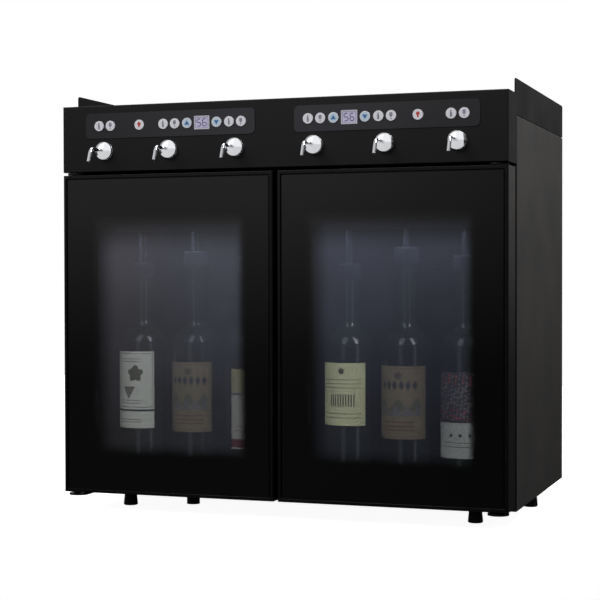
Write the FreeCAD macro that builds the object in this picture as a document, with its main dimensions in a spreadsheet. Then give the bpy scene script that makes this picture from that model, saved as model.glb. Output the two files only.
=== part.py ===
# Wine preservation dispenser for six bottles: two glass-fronted cold compartments under a head
# that carries six chrome taps, two control strips and, inside, the valves and the gas manifold.
#
# Frame: +X to the right seen from the front, +Y to the back, +Z up, millimetres. The origin is
# the middle of the whole object's footprint, on the surface that the feet stand on.
import FreeCAD, Part
import math
import os
import Sketcher
from types import SimpleNamespace

# ------------------------------------------------------------------------------------------
# Driving dimensions
# ------------------------------------------------------------------------------------------

DRIVING = {
    # cabinet
    "width": 680,              # side panel to side panel
    "depth": 440,              # door front to back panel
    "plate": 1.5,              # sheet steel
    "foot_height": 23,         # floor to base pan
    "frame_setback": 60,       # door front to the frame that the doors close on
    "skirt_height": 30,        # side of the head casing below its top plate
    "seam": 1,                 # joint between head casing and side panels
    "tongue": 28.5,            # side panel edge tucked inside the casing skirt
    "return_width": 11,        # folded foot of a side panel
    "bend_radius": 1.2,        # outside radius of a folded edge
    # head
    "fascia_height": 99,
    "rail_height": 21,         # side rails of the top tray
    "rail_setback": 49,
    "rail_corner": 4,
    # doors
    "door_lift": 7,            # base pan to door
    "door_height": 477.5,
    "door_gap": 4.5,           # slit between door and fascia
    "door_split": 6.6,         # slit between the two doors
    "door_depth": 48,
    "door_corner": 2,
    "door_stile": 36,          # frame border at the sides
    "door_sill": 44,
    "door_head": 50,
    "pane_border": 5,          # frame edge left around the front pane
    "pane_play": 0.5,
    "pane_joint": 1.8,         # dark joint round the front pane
    "pane_thickness": 4,
    "pane_recess": 0.8,
    "inner_pane_lap": 8,
    "gasket_inset": 3,
    "gasket_outset": 6,        # gasket inset on the hinge side
    "gasket_width": 7,
    "gasket_gap": 0.6,
    # hinges
    "hinge_inset": 10,         # pivot in from the side
    "hinge_setback": 22,       # pivot behind the door front
    "pin_radius": 3,
    "pin_play": 0.05,
    "pin_depth": 10,           # pin inside the door
    "pin_end_play": 0.5,
    "hinge_plate": 2.5,
    "hinge_nose": 15,          # radius of the plate's round nose
    "hinge_nose_offset": 7,    # nose centre in from the pivot
    "hinge_tail": 18,
    "hinge_tail_reach": 95,    # door front to the tail's end
    "hinge_leg": 13,
    "washer_radius": 5.5,
    "washer_gap": 0.3,
    # compartments
    "wall": 2.5,               # moulded liner
    "cavity_inner": 22,        # cabinet middle to the compartment's inner side
    "cavity_outer": 26,        # cabinet side to the compartment's outer side
    "cavity_floor": 50,        # base pan to compartment floor
    "cavity_height": 360,
    "machine_depth": 110,      # compartment's back to back panel
    "cavity_radius": 6,
    "liner_play": 0.5,
    "liner_flange": 3,
    "foam_back": 40,
    "foam_top": 30,
    "foam_lift": 7,            # base pan to foam
    "foam_play": 2,
    "hose_slot_width": 12,
    "hose_slot_length": 34,
    # taps
    "tap_inner": 60.5,         # cabinet middle to the nearest tap
    "tap_pitch": 104.5,
    "tap_drop": 68,            # fascia top to tap axis
    "hub_radius": 13,
    "hub_depth": 12,
    "hub_dome": 4.5,           # rise of the domed face
    "hub_base": 2.5,
    "hub_groove": 1,
    "hub_groove_depth": 0.8,
    "shank_radius": 4.4,
    "shank_length": 14,
    "shank_play": 0.3,
    "nut_radius": 8,
    "nut_height": 3.5,
    "barb_radius": 2.5,
    "barb_length": 10,
    "spout_radius": 2.75,
    "spout_bore": 2,
    "spout_run": 29,
    "spout_bend": 9,
    "spout_angle": 68,         # tip below the horizontal, degrees
    "spout_drop": 20,          # tap axis to the tip's middle
    # control strips
    "strip_drop": 30.7,        # fascia top to the strips' middle line
    "strip_inner": 30,
    "strip_margin": 22.25,     # outermost button to the strip's end
    "strip_height": 37.5,
    "strip_corner": 7,
    "strip_thickness": 1,
    "button_radius": 7.5,
    "button_play": 0.3,
    "button_proud": 1.2,
    "button_length": 7.1,
    "button_travel": 0.8,
    "button_pitch": 18.5,
    "ear_width": 4,
    "ear_length": 18.6,
    "ear_thickness": 1.2,
    "ear_gap": 0.4,
    "arrow_offset": 23.4,      # display middle to an up or down button
    "light_offset": 213,       # cabinet middle to a light button
    "display_width": 24,
    "display_height": 19.6,
    "display_proud": 0.4,
    "display_play": 0.3,
    "board_height": 30,
    "board_margin": 6,
    "board_thickness": 1.6,
    "switch_size": 6,
    "switch_height": 3.5,
    "switch_gap": 0.3,
    "spacer_radius": 2.5,
    # wine and gas
    "bottle_side_share": 0.3,  # share of a compartment's free width that is left at each side
    "bottle_setback": 104,     # door front to the bottle axes
    "bottle_radius": 37.2,
    "bottle_wall": 3.5,
    "bottle_floor": 8,
    "bottle_heel": 4,
    "neck_radius": 14,
    "neck_bore": 9.5,
    "neck_base": 218,          # bottle base to the foot of its neck
    "shoulder_radius": 30,
    "throat_radius": 20,       # hollow curve from shoulder to neck
    "finish_radius": 15,
    "finish_height": 7,
    "finish_drop": 4,
    "stopper_radius": 18,
    "stopper_height": 24,
    "stopper_edge": 3,
    "plug_length": 20,
    "plug_play": 0.2,
    "port_offset": 9,
    "port_length": 8,
    "dip_clearance": 6,
    "dip_radius": 2.5,
    "hose_radius": 3,
    "gas_hose_radius": 2.2,
    "hose_straight": 12,
    "shelf_drop": 17,          # tap axis to the valve shelf
    "shelf_reach": 52,
    "valve_width": 24,
    "valve_depth": 20,
    "valve_height": 24,
    "coil_radius": 9.5,
    "coil_height": 24,
    "manifold_radius": 6,
    "manifold_lift": 14,       # foam top to the manifold's axis
    "manifold_overhang": 14,
    "branch_radius": 4,
    "saddle_length": 14,
    "inlet_reach": 16,
    "inlet_radius": 8,
    "inlet_flange": 11,
    "inlet_flange_height": 3,
    "inlet_bore": 4.05,        # takes an 8 mm gas hose
    "inlet_bore_depth": 14,
    # cooling
    "cooler_drop": 85,         # compartment ceiling to the cooler's axis
    "spacer_block": 50,
    "module_size": 40,
    "module_thickness": 4,
    "cold_size": 96,
    "cold_base": 5,
    "cold_fin": 15,
    "hot_size": 110,
    "hot_base": 6,
    "hot_fin": 26,
    "fin_pitch": 8,
    "fin_thickness": 1.4,
    "outer_fan_size": 92,
    "outer_fan_depth": 25,
    "inner_fan_size": 80,
    "inner_fan_depth": 18,
    "fan_rim": 4,              # frame left beside the fan's bore
    "fan_tip_gap": 2,
    "fan_hub": 17,
    "fan_end_gap": 2,
    "fan_plate": 3,
    "fan_strut": 5,
    "fan_strut_lap": 1,        # strut's end inside the fan's frame
    "fan_screw": 2.2,
    "fan_screw_inset": 5,
    "shaft_radius": 2,
    "shaft_play": 0.05,
    "shaft_end_gap": 0.5,
    "blade_thickness": 1.5,
    "blade_root": 15.3,        # where a blade starts, inside the fan's hub
    "blade_root_chord": 12,
    "blade_tip_chord": 24,
    "blade_root_inset": 1,     # fore and aft, from the hub's face to a blade's edge
    "blade_tip_inset": 2.5,
    "cover_wall": 2,
    "cover_margin": 12,
    "cover_radius": 6,
    "cover_slot": 4,
    "cover_slot_pitch": 9,
    "grille_slot": 4.5,
    "grille_pitch": 9,
    "grille_radius": 42,
    # light
    "lamp_length": 240,
    "lamp_width": 14,
    "lamp_height": 9,
    "lamp_setback": 67,
    # feet and drain
    "foot_radius": 11,
    "foot_neck": 9,
    "foot_edge": 2,
    "foot_plug": 4,
    "foot_plug_height": 5,
    "foot_plug_play": 0.2,
    "front_foot_side": 66.5,   # cabinet side to a front foot
    "front_foot_setback": 92,
    "middle_foot_side": 20,
    "middle_foot_setback": 270,
    "rear_foot_setback": 405,
    "drain_side": 172,
    "drain_setback": 102,
    "drain_radius": 10,
    "drain_bore": 7,
    "drain_length": 18,
    # supply
    "supply_length": 150,
    "supply_depth": 90,
    "supply_height": 42,
    "supply_side": 40,
    "supply_inset": 4,         # foam's rear to the supply's rear
    "socket_side": 90,
    "socket_lift": 52,
    "socket_width": 50,
    "socket_height": 26,
    "socket_flange": 3,
    "socket_body_width": 31,
    "socket_body_height": 23,
    "socket_body_depth": 20,
    "socket_recess_width": 25,
    "socket_recess_height": 17,
    "socket_recess_depth": 16,
    "contact_width": 4,
    "contact_thickness": 2,
    "contact_length": 13,
    "contact_spread": 7,
    "vent_slot_length": 46,
    "vent_slot_width": 5,
    "vent_pitch": 14,
}

BOTTLE_HEIGHTS = {             # left to right: a mixed load, as a bar keeps it
    "bottle_1": 280,
    "bottle_2": 297,
    "bottle_3": 290,
    "bottle_4": 277,
    "bottle_5": 301,
    "bottle_6": 289,
}

BLADES = 7
TAPS_PER_SIDE = 3
INTAKE_SLOTS = 3
HEAD_VENTS = 4
GRILLE_SLOTS = 9
COVER_SLOTS = 7
SUPPLY_SLOTS = 5

doc = FreeCAD.newDocument("WineDispenser")
sheet = doc.addObject("Spreadsheet::Sheet", "sizes")


# ------------------------------------------------------------------------------------------
# Sizes that FreeCAD can follow
# ------------------------------------------------------------------------------------------

class Size:
    """A length: its value now, and the expression over the sheet's cells that gives it."""

    def __init__(self, value, text):
        self.value = float(value)
        self.text = text

    def __add__(self, other):
        other = as_size(other)
        return Size(self.value + other.value, f"({self.text} + {other.text})")

    def __radd__(self, other):
        return as_size(other) + self

    def __sub__(self, other):
        other = as_size(other)
        return Size(self.value - other.value, f"({self.text} - {other.text})")

    def __rsub__(self, other):
        return as_size(other) - self

    def __mul__(self, other):
        other = as_size(other)
        return Size(self.value * other.value, f"({self.text} * {other.text})")

    def __rmul__(self, other):
        return as_size(other) * self

    def __truediv__(self, other):
        other = as_size(other)
        return Size(self.value / other.value, f"({self.text} / {other.text})")

    def __neg__(self):
        return Size(-self.value, f"(0 - {self.text})")


def as_size(number):
    if isinstance(number, Size):
        return number
    return Size(number, f"({float(number)!r})")


def sine(angle):
    return Size(math.sin(math.radians(angle.value)), f"sin({angle.text})")


def cosine(angle):
    return Size(math.cos(math.radians(angle.value)), f"cos({angle.text})")


def root(square):
    return Size(math.sqrt(square.value), f"sqrt({square.text})")


def write_sheet(values):
    """Put each value in a cell with its name as the alias, and give them back as Sizes."""
    sizes = {}
    for row, (name, value) in enumerate(values.items(), 1):
        sheet.set(f"A{row}", str(value))
        sheet.setAlias(f"A{row}", name)
        sizes[name] = Size(value, f"sizes.{name}")
    doc.recompute()
    return SimpleNamespace(**sizes)


D = write_sheet({**DRIVING, **BOTTLE_HEIGHTS})


# ------------------------------------------------------------------------------------------
# Modelling helpers
# ------------------------------------------------------------------------------------------

NODES = {}
PLANES = {"XY": ("XY_Plane", 1), "XZ": ("XZ_Plane", -1), "YZ": ("YZ_Plane", 1)}
ORIGIN = -1
START, END, CENTRE = 1, 2, 3


def keep(item, label):
    """Name a finished sub-part, so that it is written to its own file."""
    item.Label = label
    NODES[label] = item
    return item


def bind(item, name, size):
    item.setExpression(name, as_size(size).text)


def place(item, x, y, z):
    bind(item, "Placement.Base.x", x)
    bind(item, "Placement.Base.y", y)
    bind(item, "Placement.Base.z", z)
    return item


def new_body(name):
    return doc.addObject("PartDesign::Body", name)


def origin_feature(body, role):
    return next(item for item in body.Origin.OriginFeatures if item.Role == role)


def new_sketch(body, plane, at=0):
    """A sketch on one of the body's planes, moved along that plane's axis to the place at."""
    role, sign = PLANES[plane]
    sketch = body.newObject("Sketcher::SketchObject", f"{body.Name}_{plane}")
    sketch.AttachmentSupport = [(origin_feature(body, role), "")]
    sketch.MapMode = "FlatFace"
    bind(sketch, "AttachmentOffset.Base.z", as_size(at) * sign)
    return sketch


def plane_sign(sketch):
    role = sketch.AttachmentSupport[0][0].Role
    return next(sign for name, sign in PLANES.values() if name == role)


def pin(sketch, geometry, point, x, y):
    """Fix a point of the sketch at x, y from the sketch's origin."""
    for kind, size in (("DistanceX", x), ("DistanceY", y)):
        size = as_size(size)
        number = sketch.addConstraint(
            Sketcher.Constraint(kind, ORIGIN, START, geometry, point, size.value))
        bind(sketch, f"Constraints[{number}]", size)


def set_radius(sketch, geometry, radius):
    radius = as_size(radius)
    number = sketch.addConstraint(Sketcher.Constraint("Radius", geometry, radius.value))
    bind(sketch, f"Constraints[{number}]", radius)


def flat(x, y):
    return FreeCAD.Vector(as_size(x).value, as_size(y).value, 0)


def arc_between(start, end, radius, side):
    """The shorter arc from start to end; side is +1 where it bulges to the right of the way.

    It is always drawn counter-clockwise, as the sketcher keeps its arcs.
    """
    chord = end - start
    half_chord = chord.Length / 2
    rise = math.sqrt(max(radius ** 2 - half_chord ** 2, 0))
    across = FreeCAD.Vector(chord.y, -chord.x, 0).normalize()
    middle = (start + end) / 2
    centre = middle - across * (rise * side)
    crest = centre + across * (radius * side)
    return Part.Arc(start, crest, end) if side > 0 else Part.Arc(end, crest, start)


def draw_outline(sketch, points):
    """A closed outline. A point is (x, y), or (x, y, radius, side) where an arc arrives at it."""
    count = len(points)
    first = sketch.GeometryCount
    for index, point in enumerate(points):
        start = flat(*points[index - 1][:2])
        end = flat(*point[:2])
        if len(point) == 2:
            sketch.addGeometry(Part.LineSegment(start, end))
        else:
            radius = as_size(point[2])
            number = sketch.addGeometry(arc_between(start, end, radius.value, point[3]))
            set_radius(sketch, number, radius)
    for index, point in enumerate(points):
        piece = first + index
        following = first + (index + 1) % count
        end_of_piece = end_point(sketch, piece, flat(*point[:2]))
        start_of_next = end_point(sketch, following, flat(*point[:2]))
        sketch.addConstraint(
            Sketcher.Constraint("Coincident", piece, end_of_piece, following, start_of_next))
        pin(sketch, piece, end_of_piece, point[0], point[1])
    return sketch


def end_point(sketch, piece, spot):
    """Which end of a piece of geometry lies on the spot."""
    curve = sketch.Geometry[piece]
    near_start = curve.StartPoint.distanceToPoint(spot)
    near_end = curve.EndPoint.distanceToPoint(spot)
    return START if near_start < near_end else END


def draw_rectangle(sketch, x_low, y_low, x_high, y_high):
    return draw_outline(sketch, [(x_low, y_low), (x_high, y_low), (x_high, y_high), (x_low, y_high)])


def draw_rounded(sketch, x_low, y_low, x_high, y_high, radius):
    right = 1
    return draw_outline(sketch, [
        (x_low + radius, y_low, radius, right), (x_high - radius, y_low),
        (x_high, y_low + radius, radius, right), (x_high, y_high - radius),
        (x_high - radius, y_high, radius, right), (x_low + radius, y_high),
        (x_low, y_high - radius, radius, right), (x_low, y_low + radius)])


def draw_circle(sketch, x, y, radius):
    radius = as_size(radius)
    centre = flat(x, y)
    number = sketch.addGeometry(Part.Circle(centre, FreeCAD.Vector(0, 0, 1), radius.value))
    pin(sketch, number, CENTRE, x, y)
    set_radius(sketch, number, radius)
    return sketch


def draw_slot(sketch, x_low, x_high, y, radius):
    """A slot along the sketch's x with round ends, from end to end."""
    left, right = x_low + radius, x_high - radius
    turn = math.pi / 2
    upper = sketch.addGeometry(Part.LineSegment(flat(right, y + radius), flat(left, y + radius)))
    lower = sketch.addGeometry(Part.LineSegment(flat(left, y - radius), flat(right, y - radius)))
    for piece, x in ((upper, right), (lower, left)):
        pin(sketch, piece, START, x, y + radius if piece == upper else y - radius)
    for piece, x in ((upper, left), (lower, right)):
        pin(sketch, piece, END, x, y + radius if piece == upper else y - radius)
    for x, first, last, start_line, end_line in (
            (left, turn, 3 * turn, upper, lower), (right, -turn, turn, lower, upper)):
        circle = Part.Circle(flat(x, y), FreeCAD.Vector(0, 0, 1), as_size(radius).value)
        arc = sketch.addGeometry(Part.ArcOfCircle(circle, first, last))
        sketch.addConstraint(Sketcher.Constraint("Coincident", arc, START, start_line, END))
        sketch.addConstraint(Sketcher.Constraint("Coincident", arc, END, end_line, START))
        number = sketch.addConstraint(
            Sketcher.Constraint("DistanceX", ORIGIN, START, arc, CENTRE, as_size(x).value))
        bind(sketch, f"Constraints[{number}]", x)
    return sketch


def pad(body, sketch, length, toward):
    """Extrude a sketch along its plane's global axis, toward +1 or -1."""
    feature = body.newObject("PartDesign::Pad", f"{body.Name}_pad")
    feature.Profile = sketch
    feature.Reversed = toward * plane_sign(sketch) < 0
    bind(feature, "Length", length)
    return feature


def pocket(body, sketch, depth, toward):
    """Cut a sketch into the body along its plane's global axis, toward +1 or -1."""
    feature = body.newObject("PartDesign::Pocket", f"{body.Name}_pocket")
    feature.Profile = sketch
    feature.Reversed = toward * plane_sign(sketch) > 0
    bind(feature, "Length", depth)
    return feature


def revolve(body, sketch, axis):
    """Turn a sketch a full circle about its own H_Axis or V_Axis."""
    feature = body.newObject("PartDesign::Revolution", f"{body.Name}_turned")
    feature.Profile = sketch
    feature.ReferenceAxis = (sketch, [axis])
    feature.Angle = 360
    return feature


def round_edges(body, radius, wanted):
    """Fillet the edges of the body so far for which wanted(edge) is true."""
    doc.recompute()
    base = body.Tip
    names = [f"Edge{number}" for number, edge in enumerate(base.Shape.Edges, 1) if wanted(edge)]
    feature = body.newObject("PartDesign::Fillet", f"{body.Name}_round")
    feature.Base = (base, names)
    bind(feature, "Radius", radius)
    return feature


def repeat(body, features, axis, count, pitch):
    """Repeat features in a row along one of the body's axes; a negative pitch runs backwards."""
    doc.recompute()
    pattern = body.newObject("PartDesign::LinearPattern", f"{body.Name}_row")
    pattern.Originals = features
    pattern.Direction = (origin_feature(body, axis), [""])
    pattern.Occurrences = count
    bind(pattern, "Length", as_size(pitch) * (count - 1))
    body.Tip = pattern
    return pattern


def runs_along(edge, axis):
    """Whether an edge is a straight one along X, Y or Z (axis 0, 1 or 2)."""
    if edge.Curve.TypeId != "Part::GeomLine":
        return False
    return abs(edge.Curve.Direction[axis]) > 0.999


def middle(edge):
    return edge.BoundBox.Center


def near(value, size):
    return abs(value - as_size(size).value) < 0.01


def box(name, x_low, y_low, z_low, x_high, y_high, z_high):
    item = doc.addObject("Part::Box", name)
    bind(item, "Length", x_high - x_low)
    bind(item, "Width", y_high - y_low)
    bind(item, "Height", z_high - z_low)
    return place(item, x_low, y_low, z_low)


TURNS = {
    "+Z": FreeCAD.Rotation(),
    "+X": FreeCAD.Rotation(FreeCAD.Vector(0, 1, 0), 90),
    "+Y": FreeCAD.Rotation(FreeCAD.Vector(1, 0, 0), -90),
    "-Y": FreeCAD.Rotation(FreeCAD.Vector(1, 0, 0), 90),
}


def rod(name, x, y, z, radius, length, along="+Z"):
    """A round bar from x, y, z along an axis."""
    item = doc.addObject("Part::Cylinder", name)
    item.Placement.Rotation = TURNS[along]
    bind(item, "Radius", radius)
    bind(item, "Height", length)
    return place(item, x, y, z)


def fused(name, pieces):
    item = doc.addObject("Part::MultiFuse", name)
    item.Shapes = pieces
    return item


def group(name, pieces):
    item = doc.addObject("Part::Compound", name)
    item.Links = pieces
    return item


def copies(name, template, places):
    """The same piece at several places, as one group of separate solids."""
    links = []
    for number, spot in enumerate(places, 1):
        link = doc.addObject("App::Link", f"{name}_{number}")
        link.LinkedObject = template
        links.append(place(link, *spot))
    return group(name, links)


def mirrored(name, source):
    """The left-hand twin of a right-hand piece."""
    item = doc.addObject("Part::Mirroring", name)
    item.Source = source
    item.Normal = FreeCAD.Vector(1, 0, 0)
    return item


# ------------------------------------------------------------------------------------------
# Levels and places shared by several pieces
# ------------------------------------------------------------------------------------------

half = D.width / 2
inside = half - D.plate

spout_leg = (D.spout_drop - D.spout_bend * (1 - cosine(D.spout_angle))) / sine(D.spout_angle)
spout_reach = (D.hub_depth + D.spout_run + D.spout_bend * sine(D.spout_angle)
               + spout_leg * cosine(D.spout_angle) + D.spout_radius * sine(D.spout_angle))

front = (spout_reach - D.depth - D.inlet_reach) / 2
back = front + D.depth
frame_front = front + D.frame_setback

base = D.foot_height
pan_top = base + D.plate
door_base = base + D.door_lift
door_top = door_base + D.door_height
fascia_base = door_top + D.door_gap
fascia_top = fascia_base + D.fascia_height
rail_top = fascia_top + D.rail_height
skirt_base = fascia_top - D.skirt_height

cavity_low = base + D.cavity_floor
cavity_high = cavity_low + D.cavity_height
cavity_left = D.cavity_inner
cavity_right = half - D.cavity_outer
cavity_back = back - D.machine_depth
cavity_middle = (cavity_left + cavity_right) / 2
foam_front = frame_front + D.plate
foam_rear = cavity_back + D.wall + D.foam_back
foam_high = cavity_high + D.foam_top

tap_level = fascia_top - D.tap_drop
strip_level = fascia_top - D.strip_drop
display_at = D.tap_inner + D.tap_pitch / 2
cooler_level = cavity_high - D.cooler_drop

hinge_x = half - D.hinge_inset
hinge_y = front + D.hinge_setback

shelf_top = tap_level - D.shelf_drop
bottle_y = front + D.bottle_setback
wine_y = bottle_y - D.port_offset
gas_y = bottle_y + D.port_offset
manifold_level = foam_high + D.manifold_lift


def both_sides(nearest, pitch, count):
    """Places left to right, mirrored about the middle of the cabinet."""
    right = [nearest + pitch * step for step in range(count)]
    return [-x for x in reversed(right)] + right


tap_places = both_sides(D.tap_inner, D.tap_pitch, TAPS_PER_SIDE)
free_width = cavity_right - cavity_left - D.bottle_radius * 2 * TAPS_PER_SIDE
between_bottles = free_width * (1 - D.bottle_side_share * 2) / (TAPS_PER_SIDE - 1)
bottle_pitch = D.bottle_radius * 2 + between_bottles
bottle_places = both_sides(cavity_left + free_width * D.bottle_side_share + D.bottle_radius,
                           bottle_pitch, TAPS_PER_SIDE)
bottle_heights = [getattr(D, name) for name in BOTTLE_HEIGHTS]

strip_end = tap_places[-1] + D.button_pitch / 2 + D.strip_margin
strip_length = strip_end - D.strip_inner

button_places = {}
for tap, tap_x in enumerate(tap_places, 1):
    button_places[f"small_pour_button_{tap}"] = tap_x - D.button_pitch / 2
    button_places[f"large_pour_button_{tap}"] = tap_x + D.button_pitch / 2
for side, sign in (("left", -1), ("right", 1)):
    button_places[f"light_button_{side}"] = D.light_offset * sign
    button_places[f"warmer_button_{side}"] = display_at * sign - D.arrow_offset
    button_places[f"cooler_button_{side}"] = display_at * sign + D.arrow_offset


# ------------------------------------------------------------------------------------------
# Head: casing, control strips, buttons and their boards
# ------------------------------------------------------------------------------------------

def make_head_casing():
    """Folded casing: fascia box in front, side skirts behind, and the tray's rails on top."""
    body = new_body("head_casing")
    box_rear = frame_front - D.seam
    side_view = draw_outline(new_sketch(body, "YZ", -half), [
        (front, fascia_base), (box_rear, fascia_base), (box_rear, skirt_base),
        (back, skirt_base), (back, fascia_top), (front, fascia_top)])
    pad(body, side_view, D.width, +1)
    hollow = draw_rectangle(new_sketch(body, "YZ", -inside), front + D.plate,
                            fascia_base + D.plate, back + D.plate, fascia_top - D.plate)
    pocket(body, hollow, inside * 2, +1)
    round_edges(body, D.bend_radius, lambda edge: (
        near(middle(edge).y, front) and (runs_along(edge, 0) or runs_along(edge, 2))
        and not near(abs(middle(edge).x), inside)))
    rails = new_sketch(body, "XZ", front + D.rail_setback)
    draw_rectangle(rails, inside, fascia_top - D.plate, half, rail_top)
    draw_rectangle(rails, -half, fascia_top - D.plate, -inside, rail_top)
    pad(body, rails, D.depth - D.rail_setback, +1)
    round_edges(body, D.rail_corner, lambda edge: (
        runs_along(edge, 0) and near(middle(edge).z, rail_top)))
    holes = new_sketch(body, "XZ", front)
    draw_control_openings(holes, D.button_play)
    for x in tap_places:
        draw_circle(holes, x, tap_level, D.shank_radius + D.shank_play)
    pocket(body, holes, D.plate, +1)
    keep(body, "head_casing")


def draw_control_openings(sketch, play):
    """The round button holes and the two display windows."""
    for x in button_places.values():
        draw_circle(sketch, x, strip_level, D.button_radius + play)
    for x in (-display_at, display_at):
        wide = D.display_width / 2 + D.display_play
        high = D.display_height / 2 + D.display_play
        draw_rectangle(sketch, x - wide, strip_level - high, x + wide, strip_level + high)


def make_control_strips():
    body = new_body("control_strips")
    outline = new_sketch(body, "XZ", front)
    for low in (-strip_end, D.strip_inner):
        draw_rounded(outline, low, strip_level - D.strip_height / 2, low + strip_length,
                     strip_level + D.strip_height / 2, D.strip_corner)
    draw_control_openings(outline, D.button_play)
    pad(body, outline, D.strip_thickness, -1)
    keep(body, "control_strips")


def make_button(name, x):
    """A round cap that slides through strip and fascia, with two ears that hold it in."""
    body = new_body(name)
    face = front - D.strip_thickness - D.button_proud
    pad(body, draw_circle(new_sketch(body, "XZ", face), x, strip_level, D.button_radius),
        D.button_length, +1)
    ears = draw_rectangle(
        new_sketch(body, "XZ", front + D.plate + D.ear_gap),
        x - D.ear_width / 2, strip_level - D.ear_length / 2,
        x + D.ear_width / 2, strip_level + D.ear_length / 2)
    pad(body, ears, D.ear_thickness, +1)
    keep(body, name)


button_rear = front - D.strip_thickness - D.button_proud + D.button_length
switch_front = button_rear + D.button_travel + D.switch_gap
board_front = switch_front + D.switch_height


def make_control_boards():
    """One board behind each strip, with a switch under every button and spacers to the fascia."""
    body = new_body("control_boards")
    plates = new_sketch(body, "XZ", board_front)
    switches = new_sketch(body, "XZ", board_front)
    spacers = new_sketch(body, "XZ", board_front)
    for low in (-strip_end, D.strip_inner):
        left = low + D.board_margin
        right = low + strip_length - D.board_margin
        bottom = strip_level - D.board_height / 2
        draw_rectangle(plates, left, bottom, right, bottom + D.board_height)
        for x in (left + D.board_margin / 2, right - D.board_margin / 2):
            for z in (bottom + D.board_margin / 2, bottom + D.board_height - D.board_margin / 2):
                draw_circle(spacers, x, z, D.spacer_radius)
    for x in button_places.values():
        reach = D.switch_size / 2
        draw_rectangle(switches, x - reach, strip_level - reach, x + reach, strip_level + reach)
    pad(body, plates, D.board_thickness, +1)
    pad(body, switches, D.switch_height, -1)
    pad(body, spacers, board_front - front - D.plate, -1)
    keep(body, "control_boards")


def make_displays():
    face = front - D.strip_thickness - D.display_proud
    windows = []
    for number, x in enumerate((-display_at, display_at), 1):
        windows.append(box(
            f"display_{number}", x - D.display_width / 2, face, strip_level - D.display_height / 2,
            x + D.display_width / 2, board_front, strip_level + D.display_height / 2))
    keep(group("displays", windows), "displays")


# ------------------------------------------------------------------------------------------
# Taps
# ------------------------------------------------------------------------------------------

def make_tap_hubs():
    """Domed hub with a grooved base, and behind the fascia its shank, nut and hose barb."""
    body = new_body("tap_hub")
    shank_end = D.plate + D.shank_length
    groove_floor = D.hub_radius - D.hub_groove_depth
    groove_rear = -D.hub_base
    groove_front = groove_rear - D.hub_groove
    centre_depth = (D.hub_radius * D.hub_radius - D.spout_radius * D.spout_radius
                    - D.hub_dome * D.hub_dome) / (2 * D.hub_dome)
    dome_radius = root(centre_depth * centre_depth + D.hub_radius * D.hub_radius)
    right = 1
    half_section = draw_outline(new_sketch(body, "YZ"), [
        (shank_end + D.barb_length, D.spout_bore),
        (shank_end + D.barb_length, D.barb_radius),
        (shank_end, D.barb_radius), (shank_end, D.shank_radius),
        (D.plate + D.nut_height, D.shank_radius), (D.plate + D.nut_height, D.nut_radius),
        (D.plate, D.nut_radius), (D.plate, D.shank_radius),
        (0, D.shank_radius), (0, D.hub_radius),
        (groove_rear, D.hub_radius), (groove_rear, groove_floor),
        (groove_front, groove_floor), (groove_front, D.hub_radius),
        (-D.hub_depth + D.hub_dome, D.hub_radius),
        (-D.hub_depth, D.spout_radius, dome_radius, right), (-D.hub_depth, D.spout_bore)])
    revolve(body, half_section, "H_Axis")
    keep(copies("tap_hubs", body, [(x, front, tap_level) for x in tap_places]), "tap_hubs")


def make_tap_spouts():
    """Thin tube: straight out of the hub, then bent down and forward."""
    body = new_body("tap_spout")
    bend_y = -D.hub_depth - D.spout_run
    leg_y = bend_y - D.spout_bend * sine(D.spout_angle)
    leg_z = -D.spout_bend * (1 - cosine(D.spout_angle))
    tip_y = leg_y - spout_leg * cosine(D.spout_angle)
    path = new_sketch(body, "YZ")
    run = path.addGeometry(Part.LineSegment(flat(-D.hub_depth, 0), flat(bend_y, 0)))
    leg = path.addGeometry(Part.LineSegment(flat(leg_y, leg_z), flat(tip_y, -D.spout_drop)))
    bend = path.addGeometry(arc_between(
        flat(bend_y, 0), flat(leg_y, leg_z), D.spout_bend.value, +1))
    pin(path, run, START, -D.hub_depth, 0)
    pin(path, run, END, bend_y, 0)
    pin(path, leg, START, leg_y, leg_z)
    pin(path, leg, END, tip_y, -D.spout_drop)
    bend_start = end_point(path, bend, flat(bend_y, 0))
    bend_end = START + END - bend_start
    path.addConstraint(Sketcher.Constraint("Coincident", bend, bend_start, run, END))
    path.addConstraint(Sketcher.Constraint("Coincident", bend, bend_end, leg, START))
    set_radius(path, bend, D.spout_bend)
    section = new_sketch(body, "XZ", -D.hub_depth)
    draw_circle(section, 0, 0, D.spout_radius)
    draw_circle(section, 0, 0, D.spout_bore)
    doc.recompute()
    tube = body.newObject("PartDesign::AdditivePipe", "tap_spout_tube")
    tube.Profile = section
    tube.Spine = (path, ["Edge1", "Edge2", "Edge3"])
    spots = [(x, front, tap_level) for x in tap_places]
    keep(copies("tap_spouts", body, spots), "tap_spouts")


# ------------------------------------------------------------------------------------------
# Doors and hinges
# ------------------------------------------------------------------------------------------

door_inner = D.door_split / 2
pin_end = D.pin_depth + D.pin_end_play


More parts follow.
